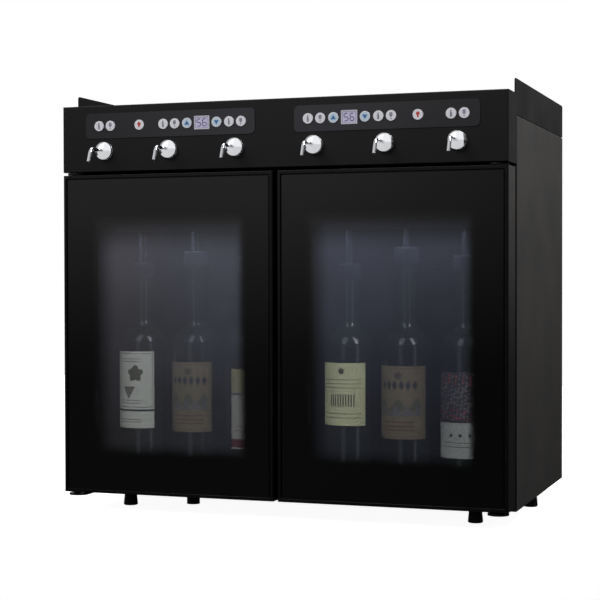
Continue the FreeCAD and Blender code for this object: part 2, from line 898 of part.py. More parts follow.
def make_door_frame():
    """Frame with a rebate for the front pane, one behind for the inner pane, and hinge bores."""
    body = new_body("right_door_frame")
    pad(body, draw_rectangle(new_sketch(body, "XZ", front), door_inner, door_base, half, door_top),
        D.door_depth, +1)
    round_edges(body, D.door_corner, lambda edge: (
        runs_along(edge, 2) and near(middle(edge).y, front)))
    rebate = draw_rectangle(
        new_sketch(body, "XZ", front),
        door_inner + D.pane_border, door_base + D.pane_border,
        half - D.pane_border, door_top - D.pane_border)
    pocket(body, rebate, D.pane_recess + D.pane_thickness, +1)
    window = draw_rectangle(
        new_sketch(body, "XZ", front), door_inner + D.door_stile, door_base + D.door_sill,
        half - D.door_stile, door_top - D.door_head)
    pocket(body, window, D.door_depth, +1)
    lap = D.inner_pane_lap
    seat = draw_rectangle(
        new_sketch(body, "XZ", front + D.door_depth), door_inner + D.door_stile - lap,
        door_base + D.door_sill - lap, half - D.door_stile + lap, door_top - D.door_head + lap)
    pocket(body, seat, D.pane_recess + D.pane_thickness, -1)
    for level, toward in ((door_base, +1), (door_top, -1)):
        bore = draw_circle(new_sketch(body, "XY", level), hinge_x, hinge_y,
                           D.pin_radius + D.pin_play)
        pocket(body, bore, pin_end, toward)
    keep(body, "right_door_frame")
    keep(mirrored("left_door_frame", body), "left_door_frame")


def make_door_panes():
    """Front pane over the whole door, and the inner pane that closes the window behind."""
    edge = D.pane_border + D.pane_joint
    seat = front + D.pane_recess
    outer = box("right_door_glass", door_inner + edge, seat, door_base + edge,
                half - edge, seat + D.pane_thickness, door_top - edge)
    border = D.door_stile - D.inner_pane_lap + D.pane_play
    sill = D.door_sill - D.inner_pane_lap + D.pane_play
    head = D.door_head - D.inner_pane_lap + D.pane_play
    rear = front + D.door_depth - D.pane_recess
    inner = box("right_door_inner_glass", door_inner + border, rear - D.pane_thickness,
                door_base + sill, half - border, rear, door_top - head)
    for pane, name in ((outer, "door_glass"), (inner, "door_inner_glass")):
        keep(pane, f"right_{name}")
        keep(mirrored(f"left_{name}", pane), f"left_{name}")


def make_door_gasket():
    body = new_body("right_door_gasket")
    ring = new_sketch(body, "XZ", front + D.door_depth)
    low_x, high_x = door_inner + D.gasket_inset, half - D.gasket_outset
    low_z, high_z = door_base + D.gasket_inset, door_top - D.gasket_inset
    draw_rectangle(ring, low_x, low_z, high_x, high_z)
    draw_rectangle(ring, low_x + D.gasket_width, low_z + D.gasket_width,
                   high_x - D.gasket_width, high_z - D.gasket_width)
    pad(body, ring, D.frame_setback - D.door_depth - D.gasket_gap, +1)
    keep(body, "right_door_gasket")
    keep(mirrored("left_door_gasket", body), "left_door_gasket")


nose_x = hinge_x - D.hinge_nose_offset
tail_low = nose_x - D.hinge_nose
top_plate_low = door_top + (D.door_gap - D.hinge_plate) / 2


def draw_hinge_plate(body, level, tail_end):
    """Steel plate with a round nose under the pivot and a straight tail into the cabinet."""
    nose = draw_circle(new_sketch(body, "XY", level), nose_x, front + D.hinge_nose, D.hinge_nose)
    pad(body, nose, D.hinge_plate, +1)
    tail = draw_rectangle(new_sketch(body, "XY", level), tail_low, front + D.hinge_nose,
                          tail_low + D.hinge_tail, tail_end)
    pad(body, tail, D.hinge_plate, +1)


def draw_pin(body, level, toward, washer_height):
    """Pivot pin with the washer that keeps the door off the plate."""
    washer = draw_circle(new_sketch(body, "XY", level), hinge_x, hinge_y, D.washer_radius)
    pad(body, washer, washer_height, toward)
    stem = draw_circle(new_sketch(body, "XY", level), hinge_x, hinge_y, D.pin_radius)
    pad(body, stem, washer_height + D.washer_gap + D.pin_depth, toward)


def make_hinge_plates():
    lower = new_body("lower_hinge")
    draw_hinge_plate(lower, pan_top, front + D.hinge_tail_reach)
    lower_top = pan_top + D.hinge_plate
    draw_pin(lower, lower_top, +1, door_base - lower_top - D.washer_gap)
    upper = new_body("upper_hinge")
    draw_hinge_plate(upper, top_plate_low, foam_front + D.hinge_plate)
    leg = draw_rectangle(
        new_sketch(upper, "XY", top_plate_low), tail_low, foam_front,
        tail_low + D.hinge_tail, foam_front + D.hinge_plate)
    pad(upper, leg, D.hinge_leg, +1)
    draw_pin(upper, top_plate_low, -1, top_plate_low - door_top - D.washer_gap)
    pieces = [lower, upper, mirrored("lower_hinge_left", lower), mirrored("upper_hinge_left", upper)]
    keep(group("hinge_plates", pieces), "hinge_plates")


# ------------------------------------------------------------------------------------------
# Cabinet shell
# ------------------------------------------------------------------------------------------

def make_side_panels():
    """Joggled sheet: the upper edge steps inside the casing skirt, the lower one folds in."""
    body = new_body("right_side_panel")
    step = skirt_base - D.seam
    tongue_top = step + D.tongue + D.seam - D.plate
    profile = draw_outline(new_sketch(body, "XZ", frame_front), [
        (half, base), (half, step), (inside, step), (inside, tongue_top),
        (inside - D.plate, tongue_top), (inside - D.plate, step - D.plate),
        (inside, step - D.plate), (inside, pan_top + D.plate),
        (inside - D.return_width, pan_top + D.plate), (inside - D.return_width, pan_top),
        (inside, pan_top), (inside, base)])
    pad(body, profile, back - frame_front, +1)
    round_edges(body, D.bend_radius, lambda edge: (
        runs_along(edge, 1) and near(middle(edge).x, half)))
    relief = draw_rectangle(new_sketch(body, "XZ", back), inside - D.return_width - D.seam,
                            base, inside, fascia_top)
    pocket(body, relief, D.plate, -1)
    keep(body, "right_side_panel")
    keep(mirrored("left_side_panel", body), "left_side_panel")


frame_low = pan_top + D.hinge_plate + D.liner_play
frame_flange = D.hinge_leg
slot_low = top_plate_low - D.liner_play
slot_high = top_plate_low + D.hinge_plate + D.liner_play


def make_face_frame():
    """Front plate round both compartments, folded back at the sides and as the valve shelf."""
    body = new_body("face_frame")
    plate = draw_rectangle(new_sketch(body, "XZ", frame_front), -inside, frame_low,
                           inside, shelf_top)
    pad(body, plate, D.plate, +1)
    flanges = new_sketch(body, "XZ", foam_front)
    draw_rectangle(flanges, inside - D.plate, frame_low, inside, shelf_top)
    draw_rectangle(flanges, -inside, frame_low, -inside + D.plate, shelf_top)
    pad(body, flanges, frame_flange, +1)
    shelf = new_sketch(body, "XY", shelf_top)
    draw_rectangle(shelf, -inside, foam_front, inside, frame_front + D.shelf_reach)
    for x in bottle_places:
        draw_circle(shelf, x, wine_y, D.barb_radius + D.liner_play)
    pad(body, shelf, D.plate, -1)
    openings = new_sketch(body, "XZ", frame_front)
    draw_cavities(openings, [-1, 1], D.wall + D.liner_play)
    for sign in (-1, 1):
        slot_left, slot_right = sorted(
            ((tail_low - D.liner_play) * sign, (tail_low + D.hinge_tail + D.liner_play) * sign),
            key=lambda x: x.value)
        draw_rectangle(openings, slot_left, slot_low, slot_right, slot_high)
    pocket(body, openings, D.plate, +1)
    keep(body, "face_frame")


def foot_places():
    """Three pairs of feet, front to back."""
    side = half - D.front_foot_side
    pairs = [
        (side, front + D.front_foot_setback),
        (half - D.middle_foot_side, front + D.middle_foot_setback),
        (side, front + D.rear_foot_setback)]
    return [(x * sign, y) for x, y in pairs for sign in (-1, 1)]


def make_base_pan():
    """Floor sheet with the feet's holes, the air intake slots and the condensate drain."""
    body = new_body("base_pan")
    floor = new_sketch(body, "XY", base)
    draw_rectangle(floor, -inside, frame_front, inside, back - D.plate)
    for x, y in foot_places():
        draw_circle(floor, x, y, D.foot_plug + D.foot_plug_play)
    pad(body, floor, D.plate, +1)
    drain_x = -D.drain_side
    drain_y = front + D.drain_setback
    nipple = draw_circle(new_sketch(body, "XY", base), drain_x, drain_y, D.drain_radius)
    pad(body, nipple, D.drain_length, -1)
    bore = draw_circle(new_sketch(body, "XY", pan_top), drain_x, drain_y, D.drain_bore)
    pocket(body, bore, D.drain_length + D.plate, -1)
    intake = new_sketch(body, "XY", pan_top)
    intake_pitch = (back - D.plate - foam_rear) / (INTAKE_SLOTS + 1)
    draw_slot(intake, -D.vent_slot_length / 2, D.vent_slot_length / 2,
              foam_rear + intake_pitch, D.vent_slot_width / 2)
    cut = pocket(body, intake, D.plate, -1)
    repeat(body, [cut], "Y_Axis", INTAKE_SLOTS, intake_pitch)
    keep(body, "base_pan")


def make_back_panel():
    """Back sheet with a grille behind each fan, vents for the head, and the two inlets' holes."""
    body = new_body("back_panel")
    rear_face = back - D.plate
    plate = new_sketch(body, "XZ", rear_face)
    draw_rectangle(plate, -inside, base, inside, fascia_top - D.plate)
    draw_circle(plate, 0, manifold_level, D.inlet_radius + D.liner_play)
    socket_x = -half + D.socket_side
    socket_z = base + D.socket_lift
    wide = D.socket_body_width / 2 + D.liner_play
    high = D.socket_body_height / 2 + D.liner_play
    draw_rectangle(plate, socket_x - wide, socket_z - high, socket_x + wide, socket_z + high)
    pad(body, plate, D.plate, +1)
    grilles = new_sketch(body, "XZ", rear_face)
    for x in (-cavity_middle, cavity_middle):
        for row in range(GRILLE_SLOTS):
            rise = D.grille_pitch * (row - (GRILLE_SLOTS - 1) / 2)
            reach = root(D.grille_radius * D.grille_radius - rise * rise)
            draw_slot(grilles, x - reach, x + reach, cooler_level + rise, D.grille_slot / 2)
    pocket(body, grilles, D.plate, +1)
    vents = new_sketch(body, "XZ", rear_face)
    vent_level = skirt_base - D.vent_pitch * 2
    for x in (-cavity_middle, cavity_middle):
        draw_slot(vents, x - D.vent_slot_length, x + D.vent_slot_length, vent_level,
                  D.vent_slot_width / 2)
    cut = pocket(body, vents, D.plate, +1)
    repeat(body, [cut], "Z_Axis", HEAD_VENTS, D.vent_pitch)
    keep(body, "back_panel")


def draw_cavities(sketch, sides, reach):
    """The compartments' rounded outlines, grown by reach; sides holds +1 and -1."""
    for sign in sides:
        left, right = sorted((cavity_left * sign, cavity_right * sign), key=lambda x: x.value)
        draw_rounded(sketch, left - reach, cavity_low - reach, right + reach,
                     cavity_high + reach, D.cavity_radius + reach)


def make_liner():
    """Moulded compartment liner: a rounded tub open to the front, with a flange round it."""
    body = new_body("right_liner")
    wall = D.wall
    tub = new_sketch(body, "XZ", frame_front)
    draw_cavities(tub, [1], wall)
    pad(body, tub, cavity_back + wall - frame_front, +1)
    hollow = new_sketch(body, "XZ", frame_front)
    draw_cavities(hollow, [1], as_size(0))
    pocket(body, hollow, cavity_back - frame_front, +1)
    for level, radius in ((cavity_back, D.cavity_radius - wall),
                          (cavity_back + wall, D.cavity_radius)):
        round_edges(body, radius, lambda edge, level=level: (
            near(edge.BoundBox.YMin, level) and near(edge.BoundBox.YMax, level)))
    flange = new_sketch(body, "XZ", frame_front)
    draw_cavities(flange, [1], wall + D.liner_flange)
    draw_cavities(flange, [1], as_size(0))
    pad(body, flange, D.plate, -1)
    slots = new_sketch(body, "XY", cavity_high + wall)
    draw_hose_slots(slots, bottle_places[TAPS_PER_SIDE:])
    pocket(body, slots, wall, -1)
    hole = new_sketch(body, "XZ", cavity_back + wall)
    draw_cooler_hole(hole, [cavity_middle])
    pocket(body, hole, wall, -1)
    keep(body, "right_liner")
    keep(mirrored("left_liner", body), "left_liner")


def draw_hose_slots(sketch, places):
    """A slot above each bottle for its wine hose and its gas hose."""
    for x in places:
        draw_rectangle(sketch, x - D.hose_slot_width / 2, bottle_y - D.hose_slot_length / 2,
                       x + D.hose_slot_width / 2, bottle_y + D.hose_slot_length / 2)


def draw_cooler_hole(sketch, places):
    for x in places:
        reach = D.spacer_block / 2 + D.liner_play
        draw_rectangle(sketch, x - reach, cooler_level - reach, x + reach, cooler_level + reach)


def make_foam():
    """Insulation round both liners, with the hoses' and the coolers' passages."""
    body = new_body("insulation")
    side = inside - D.plate - D.foam_play
    block = draw_rectangle(new_sketch(body, "XZ", foam_front), -side, pan_top + D.foam_lift,
                           side, foam_high)
    pad(body, block, foam_rear - foam_front, +1)
    pockets = new_sketch(body, "XZ", foam_front)
    draw_cavities(pockets, [-1, 1], D.wall + D.liner_play)
    pocket(body, pockets, cavity_back + D.wall - foam_front, +1)
    slots = new_sketch(body, "XY", foam_high)
    draw_hose_slots(slots, bottle_places)
    pocket(body, slots, D.foam_top, -1)
    holes = new_sketch(body, "XZ", foam_rear)
    draw_cooler_hole(holes, [-cavity_middle, cavity_middle])
    pocket(body, holes, D.foam_back + D.wall, -1)
    keep(body, "insulation")


def make_feet():
    """Turned foot with a plug that snaps into the base pan."""
    body = new_body("foot")
    right = 1
    half_section = draw_outline(new_sketch(body, "XZ"), [
        (0, 0), (D.foot_radius - D.foot_edge, 0),
        (D.foot_radius, D.foot_edge, D.foot_edge, right),
        (D.foot_neck, D.foot_height), (D.foot_plug, D.foot_height),
        (D.foot_plug, D.foot_height + D.foot_plug_height),
        (0, D.foot_height + D.foot_plug_height)])
    revolve(body, half_section, "V_Axis")
    keep(copies("feet", body, [(x, y, as_size(0)) for x, y in foot_places()]), "feet")


# ------------------------------------------------------------------------------------------
# Bottles, stoppers and lines
# ------------------------------------------------------------------------------------------

throat_cosine = 1 - (D.bottle_radius - D.neck_radius) / (D.shoulder_radius + D.throat_radius)
throat_sine = root(1 - throat_cosine * throat_cosine)


def make_bottle(name, height, x):
    """Blown bottle: straight body, round shoulder, slim neck with a finish ring, hollow inside."""
    body = new_body(name)
    shoulder = D.neck_base - (D.shoulder_radius + D.throat_radius) * throat_sine
    throat = D.bottle_radius - D.shoulder_radius * (1 - throat_cosine)
    throat_level = shoulder + D.shoulder_radius * throat_sine
    inner_radius = D.bottle_radius - D.bottle_wall
    ring_low = height - D.finish_drop - D.finish_height
    ring_high = height - D.finish_drop
    right, left = 1, -1
    half_section = draw_outline(new_sketch(body, "XZ"), [
        (0, 0), (D.bottle_radius - D.bottle_heel, 0),
        (D.bottle_radius, D.bottle_heel, D.bottle_heel, right),
        (D.bottle_radius, shoulder),
        (throat, throat_level, D.shoulder_radius, right),
        (D.neck_radius, D.neck_base, D.throat_radius, left),
        (D.neck_radius, ring_low), (D.finish_radius, ring_low),
        (D.finish_radius, ring_high), (D.neck_radius, ring_high), (D.neck_radius, height),
        (D.neck_bore, height), (D.neck_bore, D.neck_base - 2 * D.bottle_wall),
        (inner_radius, shoulder - D.bottle_wall), (inner_radius, D.bottle_floor),
        (0, D.bottle_floor)])
    revolve(body, half_section, "V_Axis")
    return place(body, x, bottle_y, cavity_low)


def make_bottles():
    bottles = []
    for name, height, x in zip(BOTTLE_HEIGHTS, bottle_heights, bottle_places):
        bottles.append(make_bottle(f"wine_{name}", height, x))
    keep(group("bottles", bottles), "bottles")


def make_stoppers():
    """Stopper with a plug in the neck and two ports on top, for wine out and gas in."""
    body = new_body("stopper")
    right = 1
    rim = D.stopper_radius - D.stopper_edge
    half_section = draw_outline(new_sketch(body, "XZ"), [
        (0, -D.plug_length), (D.neck_bore - D.plug_play, -D.plug_length),
        (D.neck_bore - D.plug_play, 0), (D.stopper_radius, 0),
        (D.stopper_radius, D.stopper_height - D.stopper_edge),
        (rim, D.stopper_height, D.stopper_edge, right), (0, D.stopper_height)])
    revolve(body, half_section, "V_Axis")
    ports = new_sketch(body, "XY", D.stopper_height)
    draw_circle(ports, 0, -D.port_offset, D.hose_radius)
    draw_circle(ports, 0, D.port_offset, D.gas_hose_radius)
    pad(body, ports, D.port_length, +1)
    spots = [(x, bottle_y, cavity_low + height)
             for x, height in zip(bottle_places, bottle_heights)]
    keep(copies("stoppers", body, spots), "stoppers")


def make_dip_tubes():
    tubes = []
    for number, (x, height) in enumerate(zip(bottle_places, bottle_heights), 1):
        low = D.bottle_floor + D.dip_clearance
        tubes.append(rod(f"dip_tube_{number}", x, bottle_y, cavity_low + low, D.dip_radius,
                         height - D.plug_length - low))
    keep(group("dip_tubes", tubes), "dip_tubes")


valve_front = wine_y - D.valve_depth + D.barb_radius * 2


def make_pour_valves():
    """Solenoid valve on the shelf: block, coil on top, barbs below and in front."""
    wide = D.valve_width / 2
    deep = valve_front - wine_y
    block = box("valve_block", -wide, deep, as_size(0), wide, deep + D.valve_depth, D.valve_height)
    coil = rod("valve_coil", as_size(0), deep + D.valve_depth / 2, D.valve_height,
               D.coil_radius, D.coil_height)
    cap = rod("valve_cap", as_size(0), deep + D.valve_depth / 2, D.valve_height + D.coil_height,
              D.coil_radius / 2, D.barb_radius)
    inlet = rod("valve_inlet", as_size(0), as_size(0), -D.barb_length, D.barb_radius,
                D.barb_length + D.plate)
    outlet = rod("valve_outlet", as_size(0), deep + D.plate, D.shelf_drop, D.barb_radius,
                 D.barb_length + D.plate, "-Y")
    valve = fused("pour_valve", [block, coil, cap, inlet, outlet])
    spots = [(x, wine_y, shelf_top) for x in bottle_places]
    keep(copies("pour_valves", valve, spots), "pour_valves")


def bent_rod(points, radius):
    """A round rod along straight runs joined by tangent arcs."""
    edges = []
    start = points[0]
    for before, corner, after in zip(points, points[1:], points[2:]):
        arriving = (corner - before).normalize()
        leaving = (after - corner).normalize()
        turn = arriving.getAngle(leaving)
        shorter = min((corner - before).Length, (after - corner).Length)
        trim = 0.45 * shorter
        arc_start = corner - arriving * trim
        arc_end = corner + leaving * trim
        bow = trim * math.tan(turn / 2) * math.tan(turn / 4)
        crest = corner + (leaving - arriving).normalize() * (trim * math.tan(turn / 2) - bow)
        edges.append(Part.LineSegment(start, arc_start).toShape())
        edges.append(Part.Arc(arc_start, crest, arc_end).toShape())
        start = arc_end
    edges.append(Part.LineSegment(start, points[-1]).toShape())
    path = Part.Wire(edges)
    face = Part.Wire(Part.Circle(points[0], points[1] - points[0], radius).toShape())
    return path.makePipeShell([face], True, False)


def make_hoses():
    """Wine hose and gas hose above each stopper, and the pour hose from each valve to its tap."""
    hoses = []
    port_top = D.stopper_height + D.port_length
    valve_low = shelf_top - D.barb_length
    manifold_low = manifold_level - D.manifold_radius - D.barb_length / 2
    hub_end = front + D.plate + D.shank_length + D.barb_length
    valve_end = valve_front - D.barb_length
    lines = zip(bottle_places, bottle_heights, tap_places)
    for number, (x, height, tap_x) in enumerate(lines, 1):
        port = cavity_low + height + port_top
        hoses.append(rod(f"wine_hose_{number}", x, wine_y, port, D.hose_radius,
                         valve_low - port))
        hoses.append(rod(f"gas_hose_{number}", x, gas_y, port, D.gas_hose_radius,
                         manifold_low - port))
        route = [(x, valve_end), (x, valve_end - D.hose_straight),
                 (tap_x, hub_end + D.hose_straight), (tap_x, hub_end)]
        points = [FreeCAD.Vector(px.value, py.value, tap_level.value) for px, py in route]
        pour = doc.addObject("Part::Feature", f"pour_hose_{number}")
        pour.Shape = bent_rod(points, D.hose_radius.value)
        hoses.append(pour)
    keep(group("hoses", hoses), "hoses")


def make_gas_manifold():
    """Gas tube across both compartments, with a barb over each bottle and a branch to the inlet."""
    reach = bottle_places[-1] + D.manifold_overhang
    pieces = [rod("gas_tube", -reach, gas_y, manifold_level, D.manifold_radius, reach * 2, "+X")]
    stub = D.barb_length / 2
    for number, x in enumerate(bottle_places, 1):
        low = manifold_level - D.manifold_radius - stub
        pieces.append(rod(f"gas_barb_{number}", x, gas_y, low, D.gas_hose_radius,
                          stub + D.manifold_radius))
    branch_end = back - D.plate - D.nut_height
    pieces.append(rod("gas_branch", as_size(0), gas_y, manifold_level, D.branch_radius,
                      branch_end - gas_y, "+Y"))
    for number, x in enumerate((-D.tap_pitch, D.tap_pitch), 1):
        pieces.append(box(f"gas_saddle_{number}", x - D.saddle_length / 2,
                          gas_y - D.manifold_radius, foam_high, x + D.saddle_length / 2,
                          gas_y + D.manifold_radius, manifold_level))
    keep(fused("gas_manifold", pieces), "gas_manifold")


def make_gas_inlet():
    """Bulkhead fitting in the back panel: an 8 mm hose pushes into its bore."""
    body = new_body("gas_inlet")
    rear = D.inlet_reach
    nut_front = -D.plate - D.nut_height
    half_section = draw_outline(new_sketch(body, "YZ"), [
        (nut_front, 0), (nut_front, D.inlet_flange), (-D.plate, D.inlet_flange),
        (-D.plate, D.inlet_radius), (0, D.inlet_radius), (0, D.inlet_flange),
        (D.inlet_flange_height, D.inlet_flange), (D.inlet_flange_height, D.inlet_radius),
        (rear, D.inlet_radius), (rear, D.inlet_bore), (rear - D.inlet_bore_depth, D.inlet_bore),
        (rear - D.inlet_bore_depth, 0)])
    revolve(body, half_section, "H_Axis")
    keep(place(body, 0, back, manifold_level), "gas_inlet")


# ------------------------------------------------------------------------------------------
# Cooling
# ------------------------------------------------------------------------------------------

def make_sink(name, size, base_thickness, fin_length, toward):
    """Finned plate across Y: a base with its outer face at y = 0, and fins that run up and down."""
    body = new_body(name)
    reach = size / 2
    pad(body, draw_rectangle(new_sketch(body, "XZ"), -reach, -reach, reach, reach),
        base_thickness, toward)
    fin = draw_rectangle(new_sketch(body, "XZ", base_thickness * toward), -reach, -reach,
                         -reach + D.fin_thickness, reach)
    first = pad(body, fin, fin_length, toward)
    count = int((size.value - D.fin_thickness.value) // D.fin_pitch.value) + 1
    spread = (size - D.fin_thickness) / (count - 1)
    repeat(body, [first], "X_Axis", count, spread)
    return body


module_y = foam_rear - D.module_thickness


def make_coolers():
    """Cold sink in the compartment, heat pump module in the wall, hot sink behind it."""
    cold = make_sink("cold_sink", D.cold_size, D.cold_base, D.cold_fin, -1)
    hot = make_sink("hot_sink", D.hot_size, D.hot_base, D.hot_fin, +1)
    cold_parts = []
    for number, x in enumerate((-cavity_middle, cavity_middle), 1):
        link = doc.addObject("App::Link", f"cold_plate_{number}")
        link.LinkedObject = cold
        place(link, x, cavity_back, cooler_level)
        reach = D.spacer_block / 2
        block = box(f"cold_block_{number}", x - reach, cavity_back, cooler_level - reach,
                    x + reach, module_y, cooler_level + reach)
        cold_parts.append(fused(f"cold_assembly_{number}", [link, block]))
        reach = D.module_size / 2
        cold_parts.append(box(f"module_{number}", x - reach, module_y, cooler_level - reach,
                              x + reach, foam_rear, cooler_level + reach))
    keep(group("cold_sinks", cold_parts), "cold_sinks")
    spots = [(x, foam_rear, cooler_level) for x in (-cavity_middle, cavity_middle)]
    keep(copies("hot_sinks", hot, spots), "hot_sinks")


def make_fan_frame(name, size, depth):
    """Square frame with a round bore, a motor plate on struts at the rear, and the shaft."""
    body = new_body(name)
    reach = size / 2
    bore = reach - D.fan_rim
    square = new_sketch(body, "XZ")
    draw_rectangle(square, -reach, -reach, reach, reach)
    draw_circle(square, 0, 0, bore)
    spread = reach - D.fan_screw_inset
    for x in (-spread, spread):
        for z in (-spread, spread):
            draw_circle(square, x, z, D.fan_screw)
    pad(body, square, depth, +1)
    strut_reach = bore + D.fan_strut_lap
    strut_half = D.fan_strut / 2
    for plane_x, plane_z in ((strut_reach, strut_half), (strut_half, strut_reach)):
        strut = draw_rectangle(new_sketch(body, "XZ", depth), -plane_x, -plane_z, plane_x, plane_z)
        pad(body, strut, D.fan_plate, -1)
    pad(body, draw_circle(new_sketch(body, "XZ", depth), 0, 0, D.fan_hub), D.fan_plate, -1)
    shaft = draw_circle(new_sketch(body, "XZ", depth - D.fan_plate), 0, 0, D.shaft_radius)
    pad(body, shaft, (depth - D.fan_plate) / 2, -1)
    return body


def make_rotor(name, size, depth, x, y):
    """Fan wheel: a hub that runs on the shaft, and twisted blades lofted from root to tip."""
    body = new_body(name)
    low = D.fan_end_gap
    high = depth - D.fan_plate - D.fan_end_gap
    radius = size / 2 - D.fan_rim - D.fan_tip_gap
    pad(body, draw_circle(new_sketch(body, "XZ", low), 0, 0, D.fan_hub), high - low, +1)
    bore = draw_circle(new_sketch(body, "XZ", high), 0, 0, D.shaft_radius + D.shaft_play)
    shaft_reach = (depth - D.fan_plate) / 2
    pocket(body, bore, shaft_reach - D.fan_end_gap + D.shaft_end_gap, -1)
    middle_y = (low + high) / 2
    thick = D.blade_thickness / 2
    tip = root(radius * radius - D.blade_tip_chord * D.blade_tip_chord / 4) - D.blade_thickness
    sections = []
    for at, chord, inset in ((D.blade_root, D.blade_root_chord, D.blade_root_inset),
                             (tip, D.blade_tip_chord, D.blade_tip_inset)):
        reach = chord / 2
        lean = (high - low) / 2 - inset - thick
        sections.append(draw_outline(new_sketch(body, "YZ", at), [
            (middle_y - lean - thick, -reach), (middle_y - lean + thick, -reach),
            (middle_y + lean + thick, reach), (middle_y + lean - thick, reach)]))
    blade = body.newObject("PartDesign::AdditiveLoft", f"{name}_blade")
    blade.Profile = sections[0]
    blade.Sections = [sections[1]]
    doc.recompute()
    wheel = body.newObject("PartDesign::PolarPattern", f"{name}_blades")
    wheel.Originals = [blade]
    wheel.Axis = (origin_feature(body, "Y_Axis"), [""])
    wheel.Angle = 360
    wheel.Occurrences = BLADES
    body.Tip = wheel
    keep(place(body, x, y, cooler_level), name)


outer_fan_y = foam_rear + D.hot_base + D.hot_fin
inner_fan_y = cavity_back - D.cold_base - D.cold_fin - D.inner_fan_depth


def make_fans():
    outer = make_fan_frame("outer_fan", D.outer_fan_size, D.outer_fan_depth)
    inner = make_fan_frame("inner_fan", D.inner_fan_size, D.inner_fan_depth)
    frames = []
    for template, y, where in ((outer, outer_fan_y, "outer"), (inner, inner_fan_y, "inner")):
        for side, x in (("left", -cavity_middle), ("right", cavity_middle)):
            link = doc.addObject("App::Link", f"{where}_fan_frame_{side}")
            link.LinkedObject = template
            frames.append(place(link, x, y, cooler_level))
    keep(group("fan_frames", frames), "fan_frames")
    for side, x in (("left", -cavity_middle), ("right", cavity_middle)):
        make_rotor(f"outer_fan_rotor_{side}", D.outer_fan_size, D.outer_fan_depth, x, outer_fan_y)
        make_rotor(f"inner_fan_rotor_{side}", D.inner_fan_size, D.inner_fan_depth, x, inner_fan_y)


def make_fan_covers():
    """Moulded cover over each cold sink, slotted in front of its fan and along its lower edge."""
    body = new_body("fan_cover")
    reach = D.cold_size / 2 + D.cover_margin
    low = inner_fan_y - D.cover_wall - cavity_back
    outline = draw_rectangle(new_sketch(body, "XZ", low), -reach, -reach, reach, reach)
    pad(body, outline, -low, +1)
    round_edges(body, D.cover_radius, lambda edge: (
        runs_along(edge, 1) or near(middle(edge).y, low)))
    hollow_reach = reach - D.cover_wall
    hollow = draw_rectangle(new_sketch(body, "XZ", low + D.cover_wall), -hollow_reach,
                            -hollow_reach, hollow_reach, hollow_reach)
    pocket(body, hollow, -low, +1)
    slots = new_sketch(body, "XZ", low)
    radius = D.inner_fan_size / 2 - D.fan_rim
    for row in range(COVER_SLOTS):
        rise = D.cover_slot_pitch * (row - (COVER_SLOTS - 1) / 2)
        wide = root(radius * radius - rise * rise)
        draw_slot(slots, -wide, wide, rise, D.cover_slot / 2)
    pocket(body, slots, D.cover_wall, +1)
    spots = [(x, cavity_back, cooler_level) for x in (-cavity_middle, cavity_middle)]
    keep(copies("fan_covers", body, spots), "fan_covers")


def make_lamps():
    """Light bar under each compartment's ceiling, with a rounded diffuser."""
    body = new_body("lamp")
    deep = D.lamp_width / 2
    reach = D.lamp_length / 2
    profile = draw_rectangle(new_sketch(body, "YZ", -reach), -deep, -D.lamp_height, deep, 0)
    pad(body, profile, D.lamp_length, +1)
    round_edges(body, D.lamp_height / 2, lambda edge: (
        runs_along(edge, 0) and near(middle(edge).z, -D.lamp_height)))
    y = front + D.lamp_setback + deep
    spots = [(x, y, cavity_high) for x in (-cavity_middle, cavity_middle)]
    keep(copies("lamps", body, spots), "lamps")


# ------------------------------------------------------------------------------------------
# Supply
# ------------------------------------------------------------------------------------------

def make_power_supply():
    """Boxed supply on the foam in the head, with cooling slots across its top."""
    body = new_body("power_supply")
    left = half - D.supply_side - D.supply_length
    near_y = foam_rear - D.supply_inset - D.supply_depth
    outline = draw_rectangle(new_sketch(body, "XY", foam_high), left, near_y,
                             left + D.supply_length, near_y + D.supply_depth)
    pad(body, outline, D.supply_height, +1)
    slot = new_sketch(body, "XY", foam_high + D.supply_height)
    draw_slot(slot, left + D.vent_pitch, left + D.supply_length - D.vent_pitch,
              near_y + D.vent_pitch, D.vent_slot_width / 2)
    cut = pocket(body, slot, D.plate, -1)
    repeat(body, [cut], "Y_Axis", SUPPLY_SLOTS, D.vent_pitch)
    keep(body, "power_supply")


def make_power_inlet():
    """Appliance inlet: flange outside, socket body inside, and three flat contacts."""
    body = new_body("power_inlet")
    x = -half + D.socket_side
    z = base + D.socket_lift
    face = back + D.socket_flange

    def rectangle_about(sketch, centre_x, centre_z, wide, high):
        return draw_rectangle(sketch, centre_x - wide / 2, centre_z - high / 2,
                              centre_x + wide / 2, centre_z + high / 2)

    pad(body, rectangle_about(new_sketch(body, "XZ", back), x, z, D.socket_width,
                              D.socket_height), D.socket_flange, +1)
    pad(body, rectangle_about(new_sketch(body, "XZ", back), x, z, D.socket_body_width,
                              D.socket_body_height), D.socket_body_depth, -1)
    pocket(body, rectangle_about(new_sketch(body, "XZ", face), x, z, D.socket_recess_width,
                                 D.socket_recess_height), D.socket_recess_depth, -1)
    contacts = new_sketch(body, "XZ", face - D.socket_recess_depth)
    row_gap = D.contact_width / 2
    for spot_x, spot_z in ((x - D.contact_spread, z), (x + D.contact_spread, z),
                           (x, z + row_gap * 2)):
        rectangle_about(contacts, spot_x, spot_z, D.contact_thickness, D.contact_width)
    pad(body, contacts, D.contact_length, +1)
    keep(body, "power_inlet")


# ------------------------------------------------------------------------------------------
# Build, check and write
# ------------------------------------------------------------------------------------------

